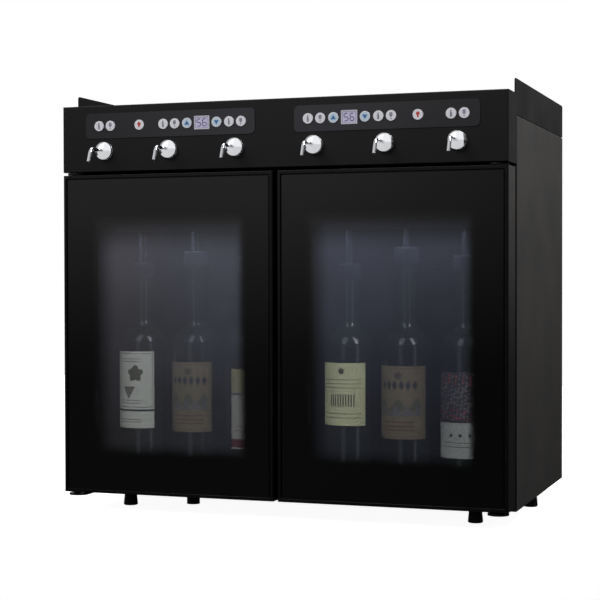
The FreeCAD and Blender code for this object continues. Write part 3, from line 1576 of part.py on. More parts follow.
def build():
    make_head_casing()
    make_control_strips()
    make_control_boards()
    make_displays()
    for name, x in button_places.items():
        make_button(name, x)
    make_tap_hubs()
    make_tap_spouts()
    make_door_frame()
    make_door_panes()
    make_door_gasket()
    make_hinge_plates()
    make_side_panels()
    make_face_frame()
    make_base_pan()
    make_back_panel()
    make_liner()
    make_foam()
    make_feet()
    make_bottles()
    make_stoppers()
    make_dip_tubes()
    make_pour_valves()
    make_gas_manifold()
    make_gas_inlet()
    make_hoses()
    make_coolers()
    make_fans()
    make_fan_covers()
    make_lamps()
    make_power_supply()
    make_power_inlet()
    doc.recompute()


def check():
    """Stop on a failed object, an invalid shape, or a cut that removed nothing."""
    for item in doc.Objects:
        if {"Invalid", "Error"} & set(item.State):
            raise RuntimeError(f"{item.Label} failed: {item.getStatusString()}")
        if item.TypeId == "PartDesign::Pocket":
            before = item.BaseFeature.Shape.Volume
            if item.Shape.Volume > before - 0.01:
                raise RuntimeError(f"{item.Label} cuts nothing")
    for label, item in NODES.items():
        if item.Shape.isNull() or not item.Shape.isValid():
            raise RuntimeError(f"{label} has no valid shape")
        if not item.Shape.Solids:
            raise RuntimeError(f"{label} holds no solid")


def write():
    os.makedirs("parts", exist_ok=True)
    for label, item in NODES.items():
        item.Shape.exportStep(f"parts/{label}.step")
        print(f"{label}: {len(item.Shape.Solids)} solids, {item.Shape.Volume / 1000:.1f} cm3")


build()
check()
write()
whole = FreeCAD.BoundBox()
for item in NODES.values():
    whole.add(item.Shape.BoundBox)
print(f"{len(NODES)} sub-parts, {whole}")
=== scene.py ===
# %% [markdown]
# # A wine preservation dispenser, dressed for the camera
# The dispenser is a steel cabinet with two glass doors. Its head carries six chrome taps and two
# strips of buttons. All its rigid pieces come ready-made from the CAD model, in metres and in
# place. This lesson gives each of them its real finish, adds what is too fine for CAD, such as
# button signs, digits, bottle labels and screws, and then lights and frames the whole.

import math

import bmesh
import bpy
from mathutils import Matrix, Vector


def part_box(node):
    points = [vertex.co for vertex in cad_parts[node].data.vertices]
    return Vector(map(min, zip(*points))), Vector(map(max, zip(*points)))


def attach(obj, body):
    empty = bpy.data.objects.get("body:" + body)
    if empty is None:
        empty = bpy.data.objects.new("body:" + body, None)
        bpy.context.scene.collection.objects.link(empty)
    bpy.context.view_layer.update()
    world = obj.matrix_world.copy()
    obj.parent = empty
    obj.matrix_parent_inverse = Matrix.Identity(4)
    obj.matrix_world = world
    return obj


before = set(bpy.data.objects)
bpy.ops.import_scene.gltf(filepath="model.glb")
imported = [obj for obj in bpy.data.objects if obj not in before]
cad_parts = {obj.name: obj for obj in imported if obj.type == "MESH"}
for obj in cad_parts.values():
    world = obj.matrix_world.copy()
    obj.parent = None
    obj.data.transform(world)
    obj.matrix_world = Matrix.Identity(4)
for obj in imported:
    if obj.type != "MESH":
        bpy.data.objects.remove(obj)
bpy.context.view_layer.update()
MM = 0.001

# %% [markdown]
# ## Three small tools
# Colours are easier to pick as sRGB hex values, but Blender's sockets want linear numbers, so one
# function turns them. A second one adds a node with its settings and links in a single line. The
# third starts a material from its Principled shader, which suits nearly every finish here.

# %% Colour, node and material tools
def linear(colour):
    """An sRGB hex colour as the linear RGBA that sockets take."""
    values = [int(colour[start:start + 2], 16) / 255 for start in (1, 3, 5)]
    curve = [v / 12.92 if v <= 0.04045 else ((v + 0.055) / 1.055) ** 2.4 for v in values]
    return (*curve, 1.0)


def add(tree, kind, inputs=None, **settings):
    """Add a node, set its options, and fill or link its inputs."""
    node = tree.nodes.new(kind)
    for name, value in settings.items():
        setattr(node, name, value)
    for name, value in (inputs or {}).items():
        socket = node.inputs[name]
        if isinstance(value, bpy.types.NodeSocket):
            tree.links.new(value, socket)
        else:
            socket.default_value = value
    return node


def new_finish(name, colour, **sockets):
    """A material with plain values on its shader; Coat_Weight stands for Coat Weight."""
    material = bpy.data.materials.new(name)
    material.use_nodes = True
    tree = material.node_tree
    shader = tree.nodes["Principled BSDF"]
    shader.inputs["Base Color"].default_value = linear(colour)
    for socket, value in sockets.items():
        shader.inputs[socket.replace("_", " ")].default_value = value
    return material, tree, shader


# %% [markdown]
# ## Grain, gloss and soft edges
# No real surface is even. Powder paint has a fine orange peel, moulded plastic a fine grain, and
# every wiped surface is shinier in some places than in others. One helper lays a cloudy noise of a
# real size in millimetres over a finish: it moves the roughness a little and lifts the surface a
# few hundredths of a millimetre. Folded steel and moulded plastic have no knife edges either, so
# the same helper rounds the shading at edges with a Bevel node.

# %% Surface helper
WIPE_SCALE = 9.0  # the marks of a cloth are about 0.1 m wide
BUMP_STRENGTH = 0.6


def texture(tree, shader, blob_mm, lift_mm, rough, edge_mm=0.5, stretch=(1, 1, 1)):
    """Cloudy roughness between the two values of rough, a fine bump, and softened edges."""
    place = add(tree, "ShaderNodeTexCoord").outputs["Object"]
    drawn = add(tree, "ShaderNodeMapping", {"Vector": place, "Scale": stretch}).outputs[0]
    cloud = add(tree, "ShaderNodeTexNoise", {
        "Vector": drawn, "Scale": 1 / (blob_mm * MM), "Detail": 3.0}).outputs["Fac"]
    wipe = add(tree, "ShaderNodeTexNoise", {
        "Vector": place, "Scale": WIPE_SCALE, "Detail": 2.0}).outputs["Fac"]
    both = add(tree, "ShaderNodeMath", {0: cloud, 1: wipe}, operation="ADD").outputs[0]
    rougher = add(tree, "ShaderNodeMapRange", {
        "Value": both, "From Min": 0.7, "From Max": 1.3, "To Min": rough[0], "To Max": rough[1]})
    tree.links.new(rougher.outputs[0], shader.inputs["Roughness"])
    edge = add(tree, "ShaderNodeBevel", {"Radius": edge_mm * MM}, samples=4).outputs[0]
    raised = add(tree, "ShaderNodeBump", {
        "Height": cloud, "Distance": lift_mm * MM, "Strength": BUMP_STRENGTH,
        "Normal": edge}).outputs[0]
    tree.links.new(raised, shader.inputs["Normal"])
    return cloud


def clouded(tree, shader, fac, colour_low, colour_high):
    """Vary the base colour between two tones with a pattern."""
    tone = add(tree, "ShaderNodeMix", {
        "Factor": fac, "A": linear(colour_low), "B": linear(colour_high)}, data_type="RGBA")
    tree.links.new(tone.outputs["Result"], shader.inputs["Base Color"])


def dress(nodes, material):
    """Give CAD nodes a finish in all their material slots."""
    for name in nodes:
        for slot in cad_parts[name].material_slots:
            slot.material = material
    print(material.name, "on", len(nodes), "nodes")


# %% [markdown]
# ## Painted steel
# Head casing, hinges, face frame, back and base pan are sheet steel with black powder paint:
# polyester that is baked on, about 0.08 mm thick, satin, with a fine orange peel of about 0.7 mm.
# The side panels are the same paint in a dark warm grey, which is what tells them from the head.
# The film isn't equally thick everywhere, so their grey varies in soft patches as wide as a hand.
# The peel is drawn at 1.2 mm, because its real size is too fine to show.

# %% Powder paints
PEEL_MM = 1.2
PATCH_MM = 90
black_paint, tree, shader = new_finish("black_powder_paint", "#101011", Specular_IOR_Level=0.18)
peel = texture(tree, shader, PEEL_MM, 0.02, (0.34, 0.5), edge_mm=0.9)
clouded(tree, shader, peel, "#0d0d0e", "#131314")
dress(["head_casing", "hinge_plates", "face_frame", "back_panel", "base_pan"], black_paint)

grey_paint, tree, shader = new_finish("grey_powder_paint", "#2b2a29", Specular_IOR_Level=0.32)
texture(tree, shader, PEEL_MM, 0.03, (0.4, 0.56), edge_mm=0.9)
place = add(tree, "ShaderNodeTexCoord").outputs["Object"]
patches = add(tree, "ShaderNodeTexNoise", {
    "Vector": place, "Scale": 1 / (PATCH_MM * MM), "Detail": 3.0}).outputs["Fac"]
clouded(tree, shader, patches, "#2f2f30", "#45423f")
dress(["left_side_panel", "right_side_panel"], grey_paint)

# %% [markdown]
# ## Door frames, gaskets and feet
# The door frame is moulded in glossy black ABS, with a shallow wave in its surface that bends the
# reflections. The gasket and the feet are black nitrile rubber: dull, slightly dusty, with no
# sharp highlight.

# %% Moulded plastic and rubber
door_plastic, tree, shader = new_finish("glossy_black_abs", "#0b0b0c", Specular_IOR_Level=0.22)
wave = texture(tree, shader, 14.0, 0.02, (0.16, 0.26), edge_mm=1.0)
clouded(tree, shader, wave, "#0a0a0b", "#0e0e0f")
dress(["left_door_frame", "right_door_frame"], door_plastic)

rubber, tree, shader = new_finish("nitrile_rubber", "#121212", Specular_IOR_Level=0.3)
dust = texture(tree, shader, 0.9, 0.05, (0.62, 0.85), edge_mm=0.4)
clouded(tree, shader, dust, "#0f0f0f", "#1c1b1a")
dress(["left_door_gasket", "right_door_gasket", "feet"], rubber)

# %% [markdown]
# ## The printed front pane
# Each front pane covers its whole door. Black ceramic ink is baked on the back of the glass as a
# border, and the ink thins out softly towards the window, as a dot screen does. The mask is worked
# out from the place on the pane, in metres: 1 inside the window, 0 under the ink, with a smooth
# ramp between. Clear glass is made thin here, as a see-through shader with a mirror on top by
# Fresnel, so that the lamps in the cabinet shine through without noise.

# %% Window mask and thin glass
def border_mask(tree, pane, edges, shape):
    """1 in the middle of a pane and 0 along its border: the product of four ramps.

    The edges are the left, right, lower and upper one, each as (inset, half the fade) in mm.
    """
    low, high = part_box(pane)
    place = add(tree, "ShaderNodeTexCoord").outputs["Object"]
    parts = add(tree, "ShaderNodeSeparateXYZ", {0: place})
    starts = (("X", low[0], 1), ("X", high[0], -1), ("Z", low[2], 1), ("Z", high[2], -1))
    mask = 1.0
    for (axis, start, sign), (inset, fade) in zip(starts, edges):
        ramp = add(tree, "ShaderNodeMapRange", {
            "Value": parts.outputs[axis],
            "From Min": start + sign * (inset - fade) * MM,
            "From Max": start + sign * (inset + fade) * MM}, interpolation_type=shape).outputs[0]
        mask = add(tree, "ShaderNodeMath", {0: mask, 1: ramp}, operation="MULTIPLY").outputs[0]
    return mask


def thin_glass(tree, tint, mirrors):
    """A pane that lets light straight through and mirrors by Fresnel, times mirrors.

    Only the outer face of the pane mirrors: light that goes straight through would meet the
    inner face too steeply and be thrown back as a whole.
    """
    clear = add(tree, "ShaderNodeBsdfTransparent", {"Color": linear(tint)}).outputs[0]
    mirror = add(tree, "ShaderNodeBsdfGlossy", {
        "Color": (1, 1, 1, 1), "Roughness": 0.02}).outputs[0]
    fresnel = add(tree, "ShaderNodeFresnel", {"IOR": 1.45}).outputs[0]
    inner_face = add(tree, "ShaderNodeNewGeometry").outputs["Backfacing"]
    outer_face = add(tree, "ShaderNodeMath", {
        0: 1.0, 1: inner_face}, operation="SUBTRACT").outputs[0]
    amount = fresnel
    for share in (mirrors, outer_face):
        amount = add(tree, "ShaderNodeMath", {
            0: amount, 1: share}, operation="MULTIPLY").outputs[0]
    return add(tree, "ShaderNodeMixShader", {0: amount, 1: clear, 2: mirror}).outputs[0]


# %% Front panes
WINDOW = {"inner": (41, 11), "outer": (44, 9), "sill": (53, 9), "head": (58, 12)}
for side, across in (("left", ("outer", "inner")), ("right", ("inner", "outer"))):
    pane, tree, shader = new_finish(
        f"printed_glass_{side}", "#08080a", Roughness=0.04, Specular_IOR_Level=0.4)
    edges = [WINDOW[edge] for edge in (*across, "sill", "head")]
    mask = border_mask(tree, f"{side}_door_glass", edges, "SMOOTHERSTEP")
    glass = thin_glass(tree, tint="#cacbd0", mirrors=1.4)
    joined = add(tree, "ShaderNodeMixShader", {0: mask, 1: shader.outputs[0], 2: glass})
    tree.links.new(joined.outputs[0], tree.nodes["Material Output"].inputs["Surface"])
    dress([f"{side}_door_glass"], pane)
print("window edges", WINDOW)

# %% [markdown]
# ## The inner pane and its haze
# The inner pane carries a low-emission coat, and cold air behind it leaves a faint mist on it. The
# light bars shine into that mist, and the light that it scatters gives the windows their cool grey
# veil, strongest near the top and gone towards the pane's warm edges. Thousands of such small
# bounces are costly to follow, so the mist gets a little Translucent shader for the direct light
# and a faint glow for the rest, broken up by soft clouds about 70 mm wide. The left light bar has
# aged, most at its outer end, and is warmer there than the right one. Its veil reaches further
# down, and the right one thins out towards the side of the cabinet.

# %% Misted inner panes
MIST = 0.13  # the share of the pane that the mist covers
MIST_EDGES = ((21, 19), (37, 14), (27, 14), (50, 32))
VEIL = {"left": (1.5, 0.2, "#dee6f5"), "right": (1.9, 0.16, "#dae4fd")}  # power, least, colour
VEIL_GAIN = 0.58
VEIL_TOP_MM = 70  # how far below the pane's top the veil is full
CLOUD_MM = 70
THINNED_X = (0.08, 0.3)  # the stretch, from the cabinet's middle, over which the veil thins out
AGED_X = (-0.28, -0.1)  # the stretch over which the aged light turns cool
for side, (power, least, cool) in VEIL.items():
    pane = f"{side}_door_inner_glass"
    low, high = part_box(pane)
    mist = bpy.data.materials.new(f"misted_low_e_glass_{side}")
    mist.use_nodes = True
    tree = mist.node_tree
    tree.nodes.remove(tree.nodes["Principled BSDF"])
    place = add(tree, "ShaderNodeTexCoord").outputs["Object"]
    parts = add(tree, "ShaderNodeSeparateXYZ", {0: place})
    clouds = add(tree, "ShaderNodeTexNoise", {
        "Vector": place, "Scale": 1 / (CLOUD_MM * MM), "Detail": 2.0}).outputs["Fac"]
    patchy = add(tree, "ShaderNodeMapRange", {
        "Value": clouds, "From Min": 0.3, "From Max": 0.7, "To Min": 0.9, "To Max": 1.1})
    rise = add(tree, "ShaderNodeMapRange", {
        "Value": parts.outputs["Z"], "From Min": low[2],
        "From Max": high[2] - VEIL_TOP_MM * MM})
    curve = add(tree, "ShaderNodeMath", {0: rise.outputs[0], 1: power}, operation="POWER")
    glow = add(tree, "ShaderNodeMath", {
        0: curve.outputs[0], 1: VEIL_GAIN, 2: least}, operation="MULTIPLY_ADD").outputs[0]
    thinner = add(tree, "ShaderNodeMapRange", {
        "Value": parts.outputs["X"], "From Min": THINNED_X[0], "From Max": THINNED_X[1],
        "To Min": 1.0, "To Max": 0.6})
    border = border_mask(tree, pane, MIST_EDGES, "SMOOTHSTEP")
    for factor in (patchy.outputs[0], thinner.outputs[0], border):
        glow = add(tree, "ShaderNodeMath", {
            0: glow, 1: factor}, operation="MULTIPLY").outputs[0]
    aged = add(tree, "ShaderNodeMapRange", {
        "Value": parts.outputs["X"], "From Min": AGED_X[0], "From Max": AGED_X[1]},
        interpolation_type="SMOOTHSTEP").outputs[0]
    tint = add(tree, "ShaderNodeMix", {
        "Factor": aged, "A": linear("#dedae0"), "B": linear(cool)}, data_type="RGBA")
    lit = add(tree, "ShaderNodeEmission", {"Color": tint.outputs["Result"], "Strength": glow})
    scatter = add(tree, "ShaderNodeBsdfTranslucent", {"Color": linear("#2c2e33")})
    veil = add(tree, "ShaderNodeAddShader", {0: lit.outputs[0], 1: scatter.outputs[0]})
    glass = thin_glass(tree, tint="#eeeef0", mirrors=0.73)
    joined = add(tree, "ShaderNodeMixShader", {0: MIST, 1: glass, 2: veil.outputs[0]})
    tree.links.new(joined.outputs[0], tree.nodes["Material Output"].inputs["Surface"])
    dress([pane], mist)
print("mist covers", MIST, "of the inner panes")

# %% [markdown]
# ## Chrome taps
# Hubs and spouts are nickel and chrome plated brass, polished, with the odd faint swirl from the
# cloth. Chrome mirrors nearly everything, so its look comes from what stands around it.

# %% Chrome
chrome, tree, shader = new_finish("polished_chrome", "#d8d9dc", Metallic=1.0)
texture(tree, shader, 3.0, 0.004, (0.05, 0.11), edge_mm=0.4)
dress(["tap_hubs", "tap_spouts"], chrome)

# %% [markdown]
# ## Control strips, buttons and displays
# The strips are smoky polycarbonate film with a fine velvet grain, a little lighter and bluer than
# the paint. Towards the middle of the head they are painted paler: a painted sheen that stands in
# for a soft reflection there. The buttons are silver-lacquered ABS, bright and satin. The display
# windows are pale lilac liquid crystal behind clear film.

# %% Strip film, lacquer and display
PAINTED_SHEEN_X = (0.28, 0.06)  # metres from the middle: where the painted sheen starts, and where it is full
film, tree, shader = new_finish("velvet_polycarbonate", "#222127", Specular_IOR_Level=0.3)
texture(tree, shader, 0.8, 0.01, (0.36, 0.46), edge_mm=0.5)
place = add(tree, "ShaderNodeTexCoord").outputs["Object"]
across = add(tree, "ShaderNodeSeparateXYZ", {0: place}).outputs["X"]
outward = add(tree, "ShaderNodeMath", {0: across}, operation="ABSOLUTE").outputs[0]
# painted sheen: the film's colour turns paler towards the middle of the head, a painted reflection
painted_sheen = add(tree, "ShaderNodeMapRange", {
    "Value": outward, "From Min": PAINTED_SHEEN_X[0], "From Max": PAINTED_SHEEN_X[1]},
    interpolation_type="SMOOTHSTEP")
clouded(tree, shader, painted_sheen.outputs[0], "#1b1a1f", "#2a2930")
dress(["control_strips"], film)

lacquer, tree, shader = new_finish("silver_lacquer", "#ececf4", Metallic=0.05, Coat_Weight=0.3)
flakes = texture(tree, shader, 0.7, 0.006, (0.28, 0.4), edge_mm=0.8)
clouded(tree, shader, flakes, "#e8e8f0", "#f6f6fd")
buttons = [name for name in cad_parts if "_button_" in name]
dress(buttons, lacquer)

# painted glow: the crystal gives off a faint light of its own colour, though it is no lamp
crystal, tree, shader = new_finish(
    "liquid_crystal", "#bcb7d4", Emission_Color=linear("#bcb7d4"), Emission_Strength=0.2)
grid = texture(tree, shader, 0.9, 0.002, (0.2, 0.3), edge_mm=0.3)
clouded(tree, shader, grid, "#b0aacb", "#c8c4dd")
dress(["displays"], crystal)

# %% [markdown]
# ## The compartments
# The liners are thermoformed ABS in dark cool grey, slightly glossy, with the soft wave that hot
# forming leaves. The bottles are dark green glass, nearly black when full. The stoppers, fan
# covers and valves are engineering plastics.

# %% Liner, bottle glass and plastics
liner, tree, shader = new_finish("thermoformed_abs", "#2c2e34", Specular_IOR_Level=0.35)
wave = texture(tree, shader, 22.0, 0.08, (0.32, 0.44), edge_mm=1.0)
clouded(tree, shader, wave, "#292b31", "#32343a")
dress(["left_liner", "right_liner"], liner)

bottle_glass, tree, shader = new_finish(
    "dark_bottle_glass", "#10150f", Specular_IOR_Level=0.12, Coat_Weight=0.5,
    Coat_Roughness=0.07)
seed = texture(tree, shader, 16.0, 0.05, (0.24, 0.32), edge_mm=0.5)
clouded(tree, shader, seed, "#0d120d", "#161d15")
dress(["bottles"], bottle_glass)

stopper_plastic, tree, shader = new_finish("stopper_polypropylene", "#2f3237")
texture(tree, shader, 0.8, 0.02, (0.35, 0.5), edge_mm=0.6)
dress(["stoppers"], stopper_plastic)

rotors = [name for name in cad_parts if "_rotor_" in name]
for name, colour, blob_mm, lift_mm, rough, edge_mm, nodes in (
        ("cover_abs", "#303238", 0.9, 0.03, (0.4, 0.55), 0.8, ["fan_covers"]),
        ("valve_nylon", "#2f3033", 0.8, 0.03, (0.45, 0.6), 0.5, ["pour_valves"]),
        ("fan_pbt", "#141415", 0.7, 0.02, (0.35, 0.5), 0.4,
         ["fan_frames", "power_inlet", *rotors])):
    plastic, tree, shader = new_finish(name, colour)
    texture(tree, shader, blob_mm, lift_mm, rough, edge_mm)
    dress(nodes, plastic)

# %% [markdown]
# ## Metals and materials behind the panels
# The supply's case is galvanised steel, whose zinc crystals make a spangle of flat patches about
# 9 mm wide: a Voronoi pattern's cells. Sinks and manifold are extruded aluminium, drawn along one
# way, so their grain is stretched. The gas inlet is turned brass, with rings left by the tool.

# %% Zinc, aluminium and brass
SPANGLE_MM = 9
zinc, tree, shader = new_finish("galvanised_steel", "#8f9296", Metallic=1.0)
place = add(tree, "ShaderNodeTexCoord").outputs["Object"]
spangle = add(tree, "ShaderNodeTexVoronoi", {
    "Vector": place, "Scale": 1 / (SPANGLE_MM * MM)})
flake = add(tree, "ShaderNodeSeparateColor", {0: spangle.outputs["Color"]}).outputs[0]
clouded(tree, shader, flake, "#83868b", "#a3a6aa")
rougher = add(tree, "ShaderNodeMapRange", {"Value": flake, "To Min": 0.32, "To Max": 0.55})
tree.links.new(rougher.outputs[0], shader.inputs["Roughness"])
dress(["power_supply"], zinc)

aluminium, tree, shader = new_finish("extruded_aluminium", "#b4b7bb", Metallic=1.0)
texture(tree, shader, 0.7, 0.02, (0.3, 0.45), edge_mm=0.3, stretch=(1, 1, 0.05))
dress(["cold_sinks", "hot_sinks", "gas_manifold"], aluminium)

brass, tree, shader = new_finish("turned_brass", "#b58e4a", Metallic=1.0)
texture(tree, shader, 0.6, 0.01, (0.2, 0.32), edge_mm=0.4, stretch=(1, 6, 1))
dress(["gas_inlet"], brass)

# %% [markdown]
# ## What leads, insulates and lights
# The hoses are polyurethane, smoky and soft, with a low shine. The dip tubes are drawn stainless
# steel with fine lines along them. The insulation is poured foam: matt, straw yellow, with cells
# of about 2 mm that show where it was cut. The boards are green epoxy laminate under a glossy
# lacquer, and the light bars have an opal cover that glows a little of its own.

# %% Tubes, foam, boards and lamps
hose, tree, shader = new_finish(
    "clear_polyurethane", "#33363b", Transmission_Weight=0.2, IOR=1.45)
texture(tree, shader, 4.0, 0.02, (0.15, 0.25), edge_mm=0.3)
dress(["hoses"], hose)

steel_tube, tree, shader = new_finish("drawn_stainless", "#a8a9ab", Metallic=1.0)
texture(tree, shader, 0.6, 0.01, (0.2, 0.34), edge_mm=0.3, stretch=(1, 1, 0.04))
dress(["dip_tubes"], steel_tube)

foam, tree, shader = new_finish("polyurethane_foam", "#c9a85c", Subsurface_Weight=0.1)
cells = texture(tree, shader, 2.2, 0.5, (0.75, 0.95), edge_mm=1.0)
clouded(tree, shader, cells, "#b8964b", "#d8bb76")
dress(["insulation"], foam)

board, tree, shader = new_finish("epoxy_board", "#173a24", Specular_IOR_Level=0.5)
texture(tree, shader, 1.4, 0.02, (0.25, 0.4), edge_mm=0.3)
dress(["control_boards"], board)

lamp_cover, tree, shader = new_finish(
    "opal_diffuser", "#4c4e56", Emission_Color=linear("#dfe5ff"), Emission_Strength=0.01)
texture(tree, shader, 1.0, 0.01, (0.4, 0.5), edge_mm=0.5)
dress(["lamps"], lamp_cover)
print("finishes made:", len(bpy.data.materials))

# %% [markdown]
# ## Flat shapes with a little thickness
# Button signs, digits, labels and bezels are all flat outlines with a hair of thickness. One
# helper turns any number of outlines into one closed mesh. It works in millimetres on a flat sheet
# first: across, up and out of the sheet. It can slice the sheet into narrow strips, so that the
# sheet bends smoothly when it is wrapped round a bottle. Then it sends every corner to its place
# through a function.

# %% Outline helpers
def sheet_mesh(outlines, back, face, slice_mm=None):
    """Closed prisms from outlines, from back to face out of the sheet, in millimetres."""
    sheet = bmesh.new()
    for outline in outlines:
        below = [sheet.verts.new((u, v, back)) for u, v in outline]
        above = [sheet.verts.new((u, v, face)) for u, v in outline]
        sheet.faces.new(reversed(below))
        sheet.faces.new(above)
        for index in range(len(outline)):
            after = (index + 1) % len(outline)
            sheet.faces.new((below[index], below[after], above[after], above[index]))
    if slice_mm:
        across = [vert.co.x for vert in sheet.verts]
        cut = math.floor(min(across) / slice_mm) * slice_mm
        while cut < max(across):
            everything = sheet.verts[:] + sheet.edges[:] + sheet.faces[:]
            bmesh.ops.bisect_plane(
                sheet, geom=everything, plane_co=(cut, 0, 0), plane_no=(1, 0, 0), dist=1e-5)
            cut += slice_mm
    bmesh.ops.recalc_face_normals(sheet, faces=sheet.faces)
    return sheet


def new_piece(name, mesh, body):
    """Make a mesh a piece that rides on a body."""
    piece = bpy.data.objects.new(name, mesh)
    bpy.context.scene.collection.objects.link(piece)
    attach(piece, body)
    return piece


def add_piece(name, sheet, placed, material, body):
    """Send a sheet's corners to their place and make it a piece."""
    for vert in sheet.verts:
        vert.co = placed(*vert.co)
    bmesh.ops.triangulate(sheet, faces=sheet.faces)
    bmesh.ops.recalc_face_normals(sheet, faces=sheet.faces)
    mesh = bpy.data.meshes.new(name)
    sheet.to_mesh(mesh)
    sheet.free()
    mesh.materials.append(material)
    return new_piece(name, mesh, body)


def rectangle(left, bottom, right, top):
    """Four corners, anticlockwise."""
    return [(left, bottom), (right, bottom), (right, top), (left, top)]


def disc(u, v, radius, corners=24, squash=1.0):
    """A circle round (u, v), or an oval where squash lowers it."""
    turns = [2 * math.pi * step / corners for step in range(corners)]
    return [(u + radius * math.cos(a), v + radius * squash * math.sin(a)) for a in turns]


def rule_box(left, bottom, right, top, width):
    """Four thin bars round a field."""
    return [rectangle(left, bottom, right, bottom + width),
            rectangle(left, top - width, right, top),
            rectangle(left, bottom + width, left + width, top - width),
            rectangle(right - width, bottom + width, right, top - width)]


# %% [markdown]
# ## Signs on the buttons
# Each tap has a button with a bottle and one with a glass, for the small and the large pour. A red
# bulb switches the light, and blue arrows on pale blue discs set the temperature. They are pad
# printed, so they get 0.06 mm of thickness and sit on the button's face. The outlines are drawn
# in millimetres round the button's middle.

# %% Button signs
INK_MM = 0.06
SIGN_DISC_R = 6.6


def ink(name, colour):
    """Printing ink: flat, slightly uneven, satin."""
    material, ink_tree, ink_shader = new_finish(name, colour, Specular_IOR_Level=0.3)
    texture(ink_tree, ink_shader, 0.7, 0.004, (0.4, 0.6), edge_mm=0.05)
    return material


grey_ink = ink("grey_ink", "#9092a2")
red_ink = ink("red_ink", "#c8443c")
blue_ink = ink("blue_ink", "#3f78b4")
pale_blue_ink = ink("pale_blue_ink", "#cfe0f0")

bottle_sign = [(-1.5, -4.8), (1.5, -4.8), (1.5, 0.8), (0.6, 2.0), (0.6, 4.8), (-0.6, 4.8),
               (-0.6, 2.0), (-1.5, 0.8)]
bowl_turns = [math.pi * step / 10 for step in range(11)]
bowl = [(2.4 * math.cos(a), 1.0 - 2.8 * math.sin(a)) for a in bowl_turns]
glass_sign = [(-2.0, 4.4), *reversed(bowl), (2.0, 4.4)]
glass_stem = rectangle(-0.35, -4.3, 0.35, -1.7)
glass_foot = rectangle(-1.9, -4.9, 1.9, -4.3)
bulb_sign = [disc(0, 1.4, 2.7), rectangle(-1.2, -3.8, 1.2, -1.1)]
arrow_up = [(-4.0, -2.6), (4.0, -2.6), (0.0, 3.8)]
arrow_down = [(-4.0, 2.6), (0.0, -3.8), (4.0, 2.6)]
SIGNS = {
    "small_pour": ([bottle_sign], grey_ink),
    "large_pour": ([glass_sign, glass_stem, glass_foot], grey_ink),
    "light": (bulb_sign, red_ink),
    "warmer": ([arrow_up], blue_ink),
    "cooler": ([arrow_down], blue_ink),
}


def on_front(centre):
    """Places a sheet upright, facing the front, with its middle at centre."""
    def placed(u, v, out):
        return Vector((centre[0] + u * MM, centre[1] - out * MM, centre[2] + v * MM))
    return placed


for name in buttons:
    low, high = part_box(name)
    centre = ((low[0] + high[0]) / 2, low[1], (low[2] + high[2]) / 2)
    kind = name.split("_button_")[0]
    outlines, colour = SIGNS[kind]
    start = 0.0
    if colour is blue_ink:
        add_piece(f"disc_{name}", sheet_mesh([disc(0, 0, SIGN_DISC_R, 32)], 0.0, INK_MM),
                  on_front(centre), pale_blue_ink, name)
        start = INK_MM
    add_piece(f"sign_{name}", sheet_mesh(outlines, start, start + INK_MM),
              on_front(centre), colour, name)
print(len(buttons), "signs printed")

# %% [markdown]
# ## Digits and bezels of the displays
# A seven-segment digit is six-cornered bars in a figure of eight. A table says which bars each
# number lights, the classic way to draw such digits. A thin silver bezel hides the joint between
# the display and the film. All sizes are in millimetres.

# %% Displays
SEGMENTS = {"5": "afgcd", "6": "afgcde"}
DIGITS = (("5", -7.4), ("6", 1.4))  # each number and its left edge from the display's middle
DIGIT_W, DIGIT_H, BAR = 5.6, 10.4, 1.4
BAR_GAP = 0.25
DISPLAY_W = 24.0
FIELD_INSET, FIELD_LINE, FIELD_THICK = 2, 0.4, 0.08
BEZEL_W, BEZEL_THICK = 1.5, 0.3


def segment(kind, left):
    """One bar of a digit as a six-cornered outline."""
    across = {"a": DIGIT_H / 2, "g": 0.0, "d": -DIGIT_H / 2}
    if kind in across:
        v = across[kind]
        start, end, half = left + BAR_GAP, left + DIGIT_W - BAR_GAP, BAR / 2
        return [(start, v), (start + half, v - half), (end - half, v - half), (end, v),
                (end - half, v + half), (start + half, v + half)]
    u = left if kind in "fe" else left + DIGIT_W
    low, high = (0.0, DIGIT_H / 2) if kind in "fb" else (-DIGIT_H / 2, 0.0)
    low, high, half = low + BAR_GAP, high - BAR_GAP, BAR / 2
    return [(u, low), (u + half, low + half), (u + half, high - half), (u, high),
            (u - half, high - half), (u - half, low + half)]


digit_ink = ink("digit_ink", "#5d5878")
bezel_metal, tree, shader = new_finish("bezel_silver", "#c9cad2", Metallic=0.4)
texture(tree, shader, 0.7, 0.005, (0.3, 0.4), edge_mm=0.2)
low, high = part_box("displays")
level = (low[2] + high[2]) / 2
half_wide, half_high = DISPLAY_W / 2, (high[2] - low[2]) / 2 / MM
for side, x in (("left", low[0] + half_wide * MM), ("right", high[0] - half_wide * MM)):
    centre = (x, low[1], level)
    bars = [segment(kind, left) for text, left in DIGITS for kind in SEGMENTS[text]]
    bars += rule_box(FIELD_INSET - half_wide, FIELD_INSET - half_high,
                     half_wide - FIELD_INSET, half_high - FIELD_INSET, FIELD_LINE)
    add_piece(f"digits_{side}", sheet_mesh(bars, 0.0, FIELD_THICK), on_front(centre), digit_ink,
              "cabinet")
    ring = rule_box(-half_wide, -half_high, half_wide, half_high, BEZEL_W)
    add_piece(f"bezel_{side}", sheet_mesh(ring, 0.0, BEZEL_THICK), on_front(centre), bezel_metal,
              "cabinet")
print("digits", DIGIT_W, "x", DIGIT_H, "mm")

# %% [markdown]
# ## Bottle labels
# A label is a sheet of paper round the bottle, 0.2 mm thick, with inks on top. All its shapes are
# drawn flat first, in millimetres from the label's lower middle, and then wrapped: the distance
# across becomes an angle. Each bottle carries a plain design: rules, a vine leaf, grapes, hills,
# petals. The paper has long fibres, which a stretched noise shows. The bottles weren't set down
# with care, so each label is turned a few degrees of its own.

